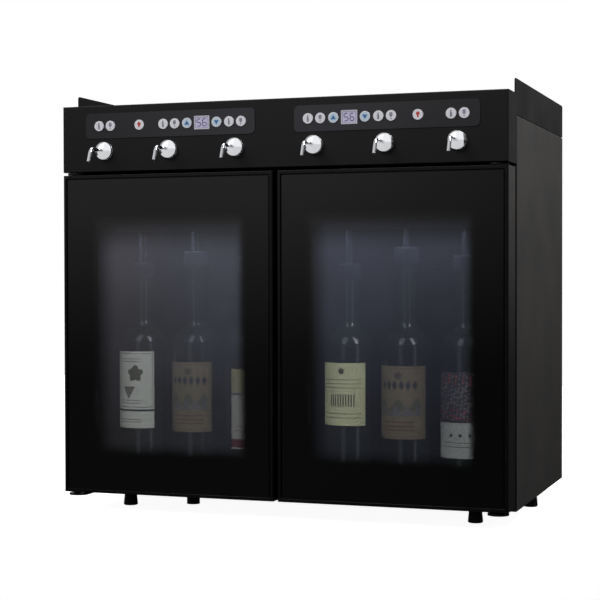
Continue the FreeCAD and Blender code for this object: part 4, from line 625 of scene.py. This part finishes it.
# %% Paper and wrapping
def paper(name, colour, darker):
    """Uncoated paper: matt, with fibres in two close tones."""
    material, paper_tree, paper_shader = new_finish(name, colour, Specular_IOR_Level=0.25)
    fibres = texture(paper_tree, paper_shader, 1.6, 0.02, (0.55, 0.75), edge_mm=0.05,
                     stretch=(0.4, 0.4, 1))
    clouded(paper_tree, paper_shader, fibres, darker, colour)
    return material


low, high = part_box("bottles")
BOTTLE_R = (high[1] - low[1]) / 2 / MM
BOTTLE_Y = (high[1] + low[1]) / 2
BOTTLE_Z = low[2]
BOTTLE_FIRST = 79.84 * MM  # from the cabinet's middle to the axis of the nearest bottle
BOTTLE_STEP = (high[0] - BOTTLE_R * MM - BOTTLE_FIRST) / 2
right_row = [BOTTLE_FIRST + BOTTLE_STEP * step for step in range(3)]
BOTTLE_X = [-x for x in reversed(right_row)] + right_row
LABEL_TURN = [math.radians(turn) for turn in (-10, 4, 24, -2, -5, 1)]
LABEL_FOOT = (49, 46, 23, 63, 46, 21)  # each label's lower edge above the bottle's base, in mm
PAPER_MM = 0.2
SUNK_MM = 0.05  # how far the paper reaches into the glass, so that no gap shows
SLICE_MM = 2.5
labels = []


def round_bottle(number):
    """Wraps a sheet round bottle number 0 to 5, from its label's lower edge upwards."""
    def placed(u, v, out):
        angle = LABEL_TURN[number] + u / BOTTLE_R
        radius = (BOTTLE_R + out) * MM
        return Vector((BOTTLE_X[number] + radius * math.sin(angle),
                       BOTTLE_Y - radius * math.cos(angle),
                       BOTTLE_Z + (LABEL_FOOT[number] + v) * MM))
    return placed


def wrap(name, number, outlines, colour, layer=0):
    """Print outlines on a bottle's label; layer 0 is the paper itself."""
    back = -SUNK_MM if layer == 0 else PAPER_MM + INK_MM * (layer - 1)
    face = PAPER_MM + INK_MM * layer
    sheet = sheet_mesh(outlines, back, face, slice_mm=SLICE_MM)
    labels.append(add_piece(
        name, sheet, round_bottle(number), colour, "cabinet"))


# %% [markdown]
# ## Motifs and papers
# A few outlines in code are enough for all six labels. A rose curve, whose reach swells and
# shrinks with the angle, gives a leaf its lobes, and a sine gives hills their skyline. Papers and
# inks differ in tone, from cream to tan and from olive to wine red. The third label's ivory paper
# and yellow ink are darker than the real ones: painted shade, where that label stands beside the
# post between the two compartments.

# %% Motifs
LEAF_POINTS, HILL_STEPS = 60, 40


def leaf(u, v, size):
    """A vine leaf: five lobes from a rose curve."""
    points = []
    for step in range(LEAF_POINTS):
        a = 2 * math.pi * step / LEAF_POINTS
        reach = size * (0.62 + 0.38 * abs(math.cos(2.5 * (a - math.pi / 2))))
        points.append((u + reach * math.cos(a), v + reach * math.sin(a)))
    return points


def grapes(u, v, size):
    """A bunch that narrows downwards: rows of four, three, two and one."""
    berries = []
    for row, count in enumerate((4, 3, 2, 1)):
        for place_in_row in range(count):
            berries.append(disc(u + (place_in_row - (count - 1) / 2) * size * 2.1,
                                v - row * size * 1.8, size, 16))
    return berries


def hills(left, right, bottom, height, waves):
    """A field under a wavy skyline."""
    span = right - left
    crest = [(right - span * step / HILL_STEPS,
              bottom + height * (0.6 + 0.4 * math.sin(waves * 2 * math.pi * step / HILL_STEPS)))
             for step in range(HILL_STEPS + 1)]
    return [(left, bottom), (right, bottom)] + crest


def rules(left, right, levels, width):
    """Level lines, one for each height."""
    return [rectangle(left, v, right, v + width) for v in levels]


# %% Papers and inks
cream = paper("cream_paper", "#e4ead9", "#d8decb")
tan = paper("tan_paper", "#857b60", "#776e54")
straw = paper("straw_paper", "#ecefbc", "#e0e3ae")
# painted shade: this paper is darker than real ivory paper, for the shade beside the centre post
white = paper("white_paper", "#b4bab0", "#a8aea4")
ivory_painted_shade = paper("ivory_paper_painted_shade", "#a9a89b", "#9d9c90")
brown_ink = ink("brown_ink", "#54463a")
olive_ink = ink("olive_ink", "#5c5e49")
dark_ink = ink("dark_ink", "#2c2f33")
# painted shade: this yellow is darkened for the same shade on the third label
yellow_ink_painted_shade = ink("yellow_ink_painted_shade", "#96916a")
wine_ink = ink("wine_ink", "#5e2a30")
rose_ink = ink("rose_ink", "#8a4a4c")
plum_ink = ink("plum_ink", "#332f33")
mist_ink = ink("mist_ink", "#6c6a69")
print("finishes made:", len(bpy.data.materials))

# %% [markdown]
# ## The first four designs
# A label is built up in layers: the paper, then each ink in an outline of its own, and where one
# ink lies over another it gets the next layer, so that no two faces share a place. The numbers
# are the label's own millimetres, so a design can be read off the code. The second and the fifth
# bottle carry the same one, on papers of different width.

# %% Five labels
wrap("label_1", 0, [rectangle(-39, 0, 39, 118)], cream)
wrap("label_1_frame", 0, rule_box(-37, 32, 37, 115, 0.8), dark_ink, 1)
wrap("label_1_bar", 0, [rectangle(-39, 26, 39, 29)], dark_ink, 1)
wrap("label_1_leaf", 0, [leaf(9, 84, 13)], olive_ink, 1)
wrap("label_1_grapes", 0, grapes(-2, 62, 2.4), brown_ink, 1)
wrap("label_1_rules", 0, rules(-20, 18, (38, 42, 9, 13, 102, 106), 1.0), mist_ink, 1)

for number, reach in ((1, 38), (4, 43)):
    title = f"label_{number + 1}"
    wrap(title, number, [rectangle(-reach, 0, reach, 106)], tan)
    wrap(f"{title}_frame", number, rule_box(3 - reach, 3, reach - 3, 103, 0.7), brown_ink, 1)
    wrap(f"{title}_crest", number, [leaf(0, 92, 6)], brown_ink, 1)
    diamonds = [[(u - 4, 78), (u, 71), (u + 4, 78), (u, 85)] for u in (-25, -15, -5, 5, 15, 25)]
    wrap(f"{title}_diamonds", number, diamonds, dark_ink, 1)
    wrap(f"{title}_hills", number, [hills(8 - reach, reach - 8, 40, 18, 2.5)], olive_ink, 1)
    wrap(f"{title}_vines", number, [hills(8 - reach, reach - 8, 34, 14, 4.0)], mist_ink, 2)
    wrap(f"{title}_rules", number, rules(-24, 24, (12, 18, 24), 1.4), wine_ink, 1)

wrap("label_3", 2, [rectangle(-32, 0, 32, 120)], ivory_painted_shade)
wrap("label_3_top", 2, [rectangle(-32, 85, 32, 120)], yellow_ink_painted_shade, 1)
wrap("label_3_bar", 2, [rectangle(-32, 81, 32, 84)], dark_ink, 1)
wrap("label_3_foot", 2, [rectangle(-32, 2, 32, 15)], wine_ink, 1)
wrap("label_3_grapes", 2, grapes(0, 65, 3.0), mist_ink, 1)
wrap("label_3_rules", 2, rules(-26, 26, (27, 33), 1.2), olive_ink, 1)

wrap("label_4", 3, [rectangle(-37.5, 0, 37.5, 92)], straw)
wrap("label_4_crest", 3, [leaf(0, 80, 5)], brown_ink, 1)
wrap("label_4_rules", 3, rules(-30, 30, (67, 61, 55, 17, 11), 0.9), olive_ink, 1)
columns = [rectangle(-18 + 4 * step, 28, -16 + 4 * step, 46) for step in range(10)]
wrap("label_4_columns", 3, columns, brown_ink, 1)
print("label sheets so far:", len(labels))

# %% [markdown]
# ## Petals on the sixth label
# The last label is strewn with small petals on a dark ground. Random places would clump, so each
# petal takes the next point of a sequence that fills a field evenly without rows: its coordinates
# step by two fixed fractions and wrap round. The lowest petals are the rosiest.

# %% Petals
PETALS, ROSY_BELOW = 150, 72
STEP_ACROSS, STEP_UP, STEP_SIZE = 0.7549, 0.5698, 0.37
GOLDEN_ANGLE = math.radians(137.5)
wrap("label_6", 5, [rectangle(-40, 0, 40, 124)], white)
wrap("label_6_ground", 5, [rectangle(-40, 51, 40, 124)], plum_ink, 1)
rosy_petals, pale_petals = [], []
for step in range(PETALS):
    u = -37 + 74 * ((step * STEP_ACROSS) % 1.0)
    v = 54 + 67 * ((step * STEP_UP) % 1.0)
    size = 1.8 + 1.4 * ((step * STEP_SIZE) % 1.0)
    lean = step * GOLDEN_ANGLE
    shape = [(u + (x - u) * math.cos(lean) - (y - v) * math.sin(lean),
              v + (x - u) * math.sin(lean) + (y - v) * math.cos(lean))
             for x, y in disc(u, v, size, 10, squash=0.6)]
    rosy = step % 7 == 0 or (v < ROSY_BELOW and step % 2)
    (rosy_petals if rosy else pale_petals).append(shape)
wrap("label_6_roses", 5, rosy_petals, rose_ink, 2)
wrap("label_6_petals", 5, pale_petals, mist_ink, 3)
wrap("label_6_marks", 5, [disc(u, 33, 2.4, 16) for u in (-14, 0, 14)], dark_ink, 1)
wrap("label_6_rules", 5, rules(-28, 28, (16, 22), 1.1), olive_ink, 1)
print("labels on", len(BOTTLE_X), "bottles of radius", round(BOTTLE_R, 1), "mm")

# %% [markdown]
# ## Ribs on the stoppers
# A stopper's grip has upright ribs. They repeat round a circle, which Geometry Nodes do with few
# nodes: a circle of points, a thin cylinder on each of them, then Realize Instances and Set
# Material, so that plain faces come out. The same tree serves all six stoppers with another
# centre.

# %% Rib tree
RIBS = 28


def new_tree(name, sizes):
    """A geometry tree with named inputs; sizes holds (name, socket kind, value)."""
    group = bpy.data.node_groups.new(name, "GeometryNodeTree")
    for label, kind, value in sizes:
        entry = group.interface.new_socket(label, in_out="INPUT", socket_type=kind)
        entry.default_value = value
    group.interface.new_socket("Geometry", in_out="OUTPUT", socket_type="NodeSocketGeometry")
    return group, add(group, "NodeGroupInput"), add(group, "NodeGroupOutput")


def run_tree(name, group, values, body):
    """Run a tree on an empty mesh with the given inputs and keep the result as a plain piece."""
    carrier = bpy.data.objects.new(f"{name}_carrier", bpy.data.meshes.new(f"{name}_carrier"))
    bpy.context.scene.collection.objects.link(carrier)
    modifier = carrier.modifiers.new("repeat", "NODES")
    modifier.node_group = group
    for entry in group.interface.items_tree:
        if entry.in_out == "INPUT" and entry.name in values:
            modifier[entry.identifier] = values[entry.name]
    graph = bpy.context.evaluated_depsgraph_get()
    mesh = bpy.data.meshes.new_from_object(carrier.evaluated_get(graph))
    bpy.data.objects.remove(carrier)
    mesh.name = name
    new_piece(name, mesh, body)


ribs, entry, result = new_tree("stopper_ribs", [
    ("Ring radius", "NodeSocketFloat", 0.0176), ("Rib radius", "NodeSocketFloat", 0.0009),
    ("Rib length", "NodeSocketFloat", 0.016), ("Centre", "NodeSocketVector", (0, 0, 0))])
ring = add(ribs, "GeometryNodeMeshCircle", {
    "Vertices": RIBS, "Radius": entry.outputs["Ring radius"]})
rod = add(ribs, "GeometryNodeMeshCylinder", {
    "Vertices": 8, "Radius": entry.outputs["Rib radius"], "Depth": entry.outputs["Rib length"]})
placed = add(ribs, "GeometryNodeInstanceOnPoints", {
    "Points": ring.outputs["Mesh"], "Instance": rod.outputs["Mesh"]})
moved = add(ribs, "GeometryNodeTransform", {
    "Geometry": placed.outputs[0], "Translation": entry.outputs["Centre"]})
plain = add(ribs, "GeometryNodeRealizeInstances", {0: moved.outputs[0]})
coloured = add(ribs, "GeometryNodeSetMaterial", {
    "Geometry": plain.outputs[0], "Material": stopper_plastic})
ribs.links.new(coloured.outputs[0], result.inputs[0])

# %% Ribs on each stopper
STOPPER_H = 24.0
RIBS_LOWER = 1.0  # from the grip's middle down to the ribs' middle, in mm
BOTTLE_HEIGHTS = (280, 297, 290, 277, 301, 289)
for number, height in enumerate(BOTTLE_HEIGHTS):
    middle = BOTTLE_Z + (height + STOPPER_H / 2 - RIBS_LOWER) * MM
    run_tree(f"stopper_ribs_{number + 1}", ribs,
             {"Centre": (BOTTLE_X[number], BOTTLE_Y, middle)}, "cabinet")
print(RIBS * len(BOTTLE_HEIGHTS), "ribs")

# %% [markdown]
# ## Screws on the back
# The back panel is held by cross-head screws along its edges. A row of them is a Mesh Line with a
# screw head on each point. The head is a short cylinder from which two crossed boxes are cut by a
# Mesh Boolean, so the recess is real. The corner screws belong to the top and bottom rows, so the
# side rows have two fewer.

# %% Screw tree
RECESS_L, RECESS_W, RECESS_H = 0.0045, 0.0009, 0.0014  # the boxes that cut it, in metres
RECESS_UP = 0.0008
screws, entry, result = new_tree("screw_row", [
    ("Count", "NodeSocketInt", 5), ("Step", "NodeSocketVector", (0.1, 0, 0)),
    ("Start", "NodeSocketVector", (0, 0, 0)), ("Head radius", "NodeSocketFloat", 0.0035),
    ("Head height", "NodeSocketFloat", 0.0016)])
head = add(screws, "GeometryNodeMeshCylinder", {
    "Vertices": 20, "Radius": entry.outputs["Head radius"],
    "Depth": entry.outputs["Head height"]})
bars = []
for size in ((RECESS_L, RECESS_W, RECESS_H), (RECESS_W, RECESS_L, RECESS_H)):
    bar = add(screws, "GeometryNodeMeshCube", {"Size": size})
    lifted = add(screws, "GeometryNodeTransform", {
        "Geometry": bar.outputs["Mesh"], "Translation": (0, 0, RECESS_UP)})
    bars.append(lifted.outputs[0])
cut = add(screws, "GeometryNodeMeshBoolean", {"Mesh 1": head.outputs["Mesh"]},
          operation="DIFFERENCE")
for bar in bars:
    screws.links.new(bar, cut.inputs["Mesh 2"])
row = add(screws, "GeometryNodeMeshLine", {
    "Count": entry.outputs["Count"], "Start Location": entry.outputs["Start"],
    "Offset": entry.outputs["Step"]})
placed = add(screws, "GeometryNodeInstanceOnPoints", {
    "Points": row.outputs["Mesh"], "Instance": cut.outputs["Mesh"],
    "Rotation": (-math.pi / 2, 0, 0)})
plain = add(screws, "GeometryNodeRealizeInstances", {0: placed.outputs[0]})
screw_zinc, tree, shader = new_finish("black_zinc_screw", "#2a2a2c", Metallic=0.9)
texture(tree, shader, 0.6, 0.01, (0.3, 0.45), edge_mm=0.2)
coloured = add(screws, "GeometryNodeSetMaterial", {
    "Geometry": plain.outputs[0], "Material": screw_zinc})
screws.links.new(coloured.outputs[0], result.inputs[0])

# %% Rows of screws
EDGE_MM = 5.0
HEAD_OUT_MM = 0.7  # the head's middle stands this far out, so its underside is just sunk
count_across, count_up = 6, 5
low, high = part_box("back_panel")
face_y = high[1] + HEAD_OUT_MM * MM
left, right = low[0] + EDGE_MM * MM, high[0] - EDGE_MM * MM
bottom, top = low[2] + EDGE_MM * MM, high[2] - EDGE_MM * MM
step_x = (right - left) / (count_across - 1)
step_z = (top - bottom) / (count_up - 1)
for name, start, step, count in (
        ("screws_top", (left, face_y, top), (step_x, 0, 0), count_across),
        ("screws_bottom", (left, face_y, bottom), (step_x, 0, 0), count_across),
        ("screws_left", (left, face_y, bottom + step_z), (0, 0, step_z), count_up - 2),
        ("screws_right", (right, face_y, bottom + step_z), (0, 0, step_z), count_up - 2)):
    run_tree(name, screws, {"Start": start, "Step": step, "Count": count}, "cabinet")
print("screws", 2 * count_across + 2 * (count_up - 2))

# %% [markdown]
# ## Floor and surroundings
# The floor is a plain pale sheet. The camera sees it, and everything behind, as white, while the
# shadow of the dispenser stays on it. The sheet adds a white glow for camera rays alone, and takes
# no part in reflections, which would show its edges in the doors.

# %% Floor
FLOOR_FRONT, FLOOR_BACK, FLOOR_SIDE = -0.42, 2.6, 2.4
FLOOR_GLOW = 0.94
floor_mesh = bpy.data.meshes.new("floor")
floor_mesh.from_pydata(
    [(-FLOOR_SIDE, FLOOR_FRONT, 0), (FLOOR_SIDE, FLOOR_FRONT, 0),
     (FLOOR_SIDE, FLOOR_BACK, 0), (-FLOOR_SIDE, FLOOR_BACK, 0)], [], [(0, 1, 2, 3)])
floor = bpy.data.objects.new("floor", floor_mesh)
bpy.context.scene.collection.objects.link(floor)
matt_white, tree, shader = new_finish(
    "pale_floor", "#e4e4e4", Roughness=0.9, Specular_IOR_Level=0.0)
ray = add(tree, "ShaderNodeLightPath")
seen = add(tree, "ShaderNodeMath", {
    0: ray.outputs["Is Camera Ray"], 1: FLOOR_GLOW}, operation="MULTIPLY").outputs[0]
lifted = add(tree, "ShaderNodeEmission", {"Color": (1, 1, 1, 1), "Strength": seen}).outputs[0]
whole = add(tree, "ShaderNodeAddShader", {0: shader.outputs[0], 1: lifted}).outputs[0]
tree.links.new(whole, tree.nodes["Material Output"].inputs["Surface"])
floor_mesh.materials.append(matt_white)
floor.visible_diffuse = False
floor.visible_glossy = False
print("floor", 2 * FLOOR_SIDE, "m wide")

# %% [markdown]
# ## The studio around
# What the paint and the doors mirror is a dim studio: grey above eye level and dark below, and
# brighter towards the left, which gives the black glass its slow gradient. The world's direction
# says how high and how far aside a ray goes. Camera rays, and what glass lets through, meet plain
# white instead, and so does what is mirrored from the backdrop straight behind the dispenser.

# %% World
HORIZON = (-0.08, 0.11)  # over this upward part of a ray's direction the studio brightens
DIM, BRIGHT = 0.06, 0.56
LEFTWARDS = (-0.12, -0.36)  # over this sideways part it reaches its full strength
RIGHT_SHARE = 0.4  # what is left of that strength on the right
BACKDROP_WAY = (-0.5, 0.866, 0.0)
BACKDROP_RAMP = (0.86, 0.94)  # cosines of the angle from that direction
world = bpy.data.worlds.new("studio")
bpy.context.scene.world = world
world.use_nodes = True
tree = world.node_tree
way = add(tree, "ShaderNodeTexCoord").outputs["Generated"]
parts = add(tree, "ShaderNodeSeparateXYZ", {0: way})
rise = add(tree, "ShaderNodeMapRange", {
    "Value": parts.outputs["Z"], "From Min": HORIZON[0], "From Max": HORIZON[1],
    "To Min": DIM, "To Max": BRIGHT}, interpolation_type="SMOOTHSTEP").outputs[0]
aside = add(tree, "ShaderNodeMapRange", {
    "Value": parts.outputs["X"], "From Min": LEFTWARDS[0], "From Max": LEFTWARDS[1],
    "To Min": RIGHT_SHARE, "To Max": 1.0}, interpolation_type="SMOOTHSTEP").outputs[0]
strength = add(tree, "ShaderNodeMath", {0: rise, 1: aside}, operation="MULTIPLY").outputs[0]
backdrop = add(tree, "ShaderNodeVectorMath", {
    0: way, 1: BACKDROP_WAY}, operation="DOT_PRODUCT").outputs["Value"]
behind = add(tree, "ShaderNodeMapRange", {
    "Value": backdrop, "From Min": BACKDROP_RAMP[0], "From Max": BACKDROP_RAMP[1]}).outputs[0]
ray = add(tree, "ShaderNodeLightPath")
mirrored = add(tree, "ShaderNodeMath", {
    0: ray.outputs["Is Glossy Ray"], 1: behind}, operation="MULTIPLY").outputs[0]
shown = add(tree, "ShaderNodeMath", {
    0: ray.outputs["Is Camera Ray"], 1: ray.outputs["Is Transmission Ray"]},
    operation="MAXIMUM").outputs[0]
shown = add(tree, "ShaderNodeMath", {0: shown, 1: mirrored}, operation="MAXIMUM").outputs[0]
strength = add(tree, "ShaderNodeMix", {"Factor": shown, "A": strength, "B": 1.0},
               data_type="FLOAT").outputs["Result"]
background = tree.nodes["Background"]
background.inputs["Color"].default_value = (1, 1, 1, 1)
tree.links.new(strength, background.inputs["Strength"])
print("studio from", DIM, "to", BRIGHT)

# %% [markdown]
# ## Lamps
# One large soft lamp stands high at the front left, a second, weaker one at the right and a third
# overhead. A small lamp hangs under each compartment's ceiling, where the light bar is, and gives
# the inside a cool light. Sizes are in metres and power is in watts.

# %% Studio and cabinet lamps
def area_lamp(name, place, target, size, power, colour="#ffffff", size_y=None):
    """A rectangular lamp that faces its target; it is square without a size_y."""
    light = bpy.data.lights.new(name, "AREA")
    light.shape = "RECTANGLE"
    light.size = size
    light.size_y = size_y or size
    light.energy = power
    light.color = linear(colour)[:3]
    lamp = bpy.data.objects.new(name, light)
    bpy.context.scene.collection.objects.link(lamp)
    lamp.location = place
    aim = Vector(target) - Vector(place)
    lamp.rotation_euler = aim.to_track_quat("-Z", "Y").to_euler()
    return lamp


MIDDLE = (0.0, 0.0, 0.33)
COMPARTMENT_X = 0.168
LED_BELOW, LED_LEAN = 0.002, 0.05  # under its light bar, and how far back it aims
key = area_lamp("key", (-0.9, -2.6, 2.3), MIDDLE, size=1.6, power=44)
fill = area_lamp("fill", (1.5, -0.3, 2.2), MIDDLE, size=0.9, power=26)
area_lamp("top", (0.0, 0.5, 3.0), MIDDLE, size=1.8, power=40)
low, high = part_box("lamps")
lamp_y = (low[1] + high[1]) / 2
for side, lamp_x in (("left", -COMPARTMENT_X), ("right", COMPARTMENT_X)):
    led = area_lamp(f"led_{side}", (lamp_x, lamp_y, low[2] - LED_BELOW),
                    (lamp_x, lamp_y + LED_LEAN, 0.0), size=0.23, power=0.3,
                    colour="#f2f4ff", size_y=0.012)
    led.visible_glossy = False
print("lamps for the whole scene:", len(bpy.data.lights))

# %% [markdown]
# ## Boxes and cards for bottles, taps and sides
# In a studio, bottles, labels and chrome get boxes and cards of their own, set so that the flat
# doors don't mirror them. Light linking does the same: a lamp with a receiver collection shines on
# those objects alone, and one with a blocker collection is only shaded by those. Two tall boxes
# draw the bright lines down every bottle's neck and body, two high ones the spots on its shoulder,
# and a broad one lights the labels. Large cards in front and on the floor make the tap hubs white
# above and light grey below. The spouts have a dimmer card, and a last box grazes the side panels
# from above. In turn the key lamp leaves out the taps and the fill lamp the side panels.

# %% Linked lamps
def only_on(lamp, receivers):
    """Let a lamp shine on these objects alone, and be shaded by them alone."""
    lit = bpy.data.collections.new(f"lit_by_{lamp.name}")
    for item in receivers:
        lit.objects.link(item)
    lamp.light_linking.receiver_collection = lit
    lamp.light_linking.blocker_collection = lit


def not_on(lamp, spared):
    """Let a lamp shine on everything but these objects."""
    lit = bpy.data.collections.new(f"spared_by_{lamp.name}")
    for item in spared:
        lit.objects.link(item)
    for entry in lit.collection_objects:
        entry.light_linking.link_state = "EXCLUDE"
    lamp.light_linking.receiver_collection = lit


CELLAR = (COMPARTMENT_X, BOTTLE_Y, 0.27)
BOX_AWAY = 2.2
COOL_WHITE, WARM_WHITE, WHITE = "#fbfcff", "#fffdf6", "#ffffff"
for name, turn, climb, wide, tall, power in (  # turn and climb are degrees round the bottles
        ("bottle_box_left", -13, -2, 0.7, 1.4, 5.5), ("bottle_box_right", 54, -2, 0.5, 1.4, 7.5),
        ("shoulder_box_left", -13, 42, 0.8, 1.6, 30), ("shoulder_box_right", 54, 44, 0.5, 1.5, 80)):
    angle, height = math.radians(turn), math.radians(climb)
    place = (CELLAR[0] + BOX_AWAY * math.cos(height) * math.sin(angle),
             CELLAR[1] - BOX_AWAY * math.cos(height) * math.cos(angle),
             CELLAR[2] + BOX_AWAY * math.sin(height))
    bottle_box = area_lamp(name, place, CELLAR, wide, power, COOL_WHITE, tall)
    only_on(bottle_box, [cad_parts["bottles"]])
label_box = area_lamp("label_box", (0.5, -2.4, 0.9), CELLAR, size=1.6, power=80, colour=WARM_WHITE)
only_on(label_box, labels)
hubs, spouts = [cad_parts["tap_hubs"]], [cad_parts["tap_spouts"]]
for name, place, target, wide, tall, power, receivers in (
        ("hub_card_high", (-2.3, -2.0, 3.38), (-2.3, 0.0, 3.38), 9.2, 5.24, 150, hubs),
        ("hub_card_low", (-2.3, -2.0, -0.22), (-2.3, 0.0, -0.22), 9.2, 1.96, 48, hubs),
        ("hub_card_floor", (-1.0, -0.8, -1.1), (-1.0, -0.8, 0.0), 8.0, 2.2, 46, hubs),
        ("spout_card", (0.0, -2.0, 1.0), (0.0, 0.0, 1.0), 18.0, 6.0, 125, spouts)):
    only_on(area_lamp(name, place, target, wide, power, WHITE, tall), receivers)
panels = [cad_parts["left_side_panel"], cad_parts["right_side_panel"]]
side_box = area_lamp("side_box", (0.8, -0.2, 1.35), (0.34, 0.0, 0.5), size=0.5, power=14.0)
only_on(side_box, panels)
not_on(key, hubs + spouts)
not_on(fill, panels)
print(len(bpy.data.lights), "lamps,", len(labels), "label sheets lit")

# %% [markdown]
# ## Camera
# The camera stands a little to the right of the dispenser, near the height of its middle, and
# looks slightly to the left along the doors. Its place is given from the doors' front plane and
# lower edge, and its angles are in radians.

# %% Camera
YAW, PITCH, ROLL = 0.335, -0.017, -0.002
CAMERA_ASIDE, CAMERA_AWAY, CAMERA_UP = 0.76085, 2.07566, 0.32878
SENSOR_MM, FRAME_PIXELS, FOCAL_PIXELS = 36.0, 600, 1534.9
door_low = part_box("right_door_frame")[0]
camera_place = Vector((CAMERA_ASIDE, door_low[1] - CAMERA_AWAY, door_low[2] + CAMERA_UP))
forward = Vector((-math.sin(YAW) * math.cos(PITCH), math.cos(YAW) * math.cos(PITCH),
                  math.sin(PITCH)))
level_right = Vector((math.cos(YAW), math.sin(YAW), 0))
level_up = level_right.cross(forward)
right_way = level_right * math.cos(ROLL) + level_up * math.sin(ROLL)
up_way = level_up * math.cos(ROLL) - level_right * math.sin(ROLL)
camera_data = bpy.data.cameras.new("camera")
camera_data.sensor_width = SENSOR_MM
camera_data.lens = FOCAL_PIXELS * SENSOR_MM / FRAME_PIXELS
camera = bpy.data.objects.new("camera", camera_data)
bpy.context.scene.collection.objects.link(camera)
turn = Matrix((right_way, up_way, -forward)).transposed().to_4x4()
camera.matrix_world = Matrix.Translation(camera_place) @ turn
bpy.context.scene.camera = camera
bpy.context.scene.view_settings.view_transform = "Standard"
print("lens", round(camera_data.lens, 1), "mm")
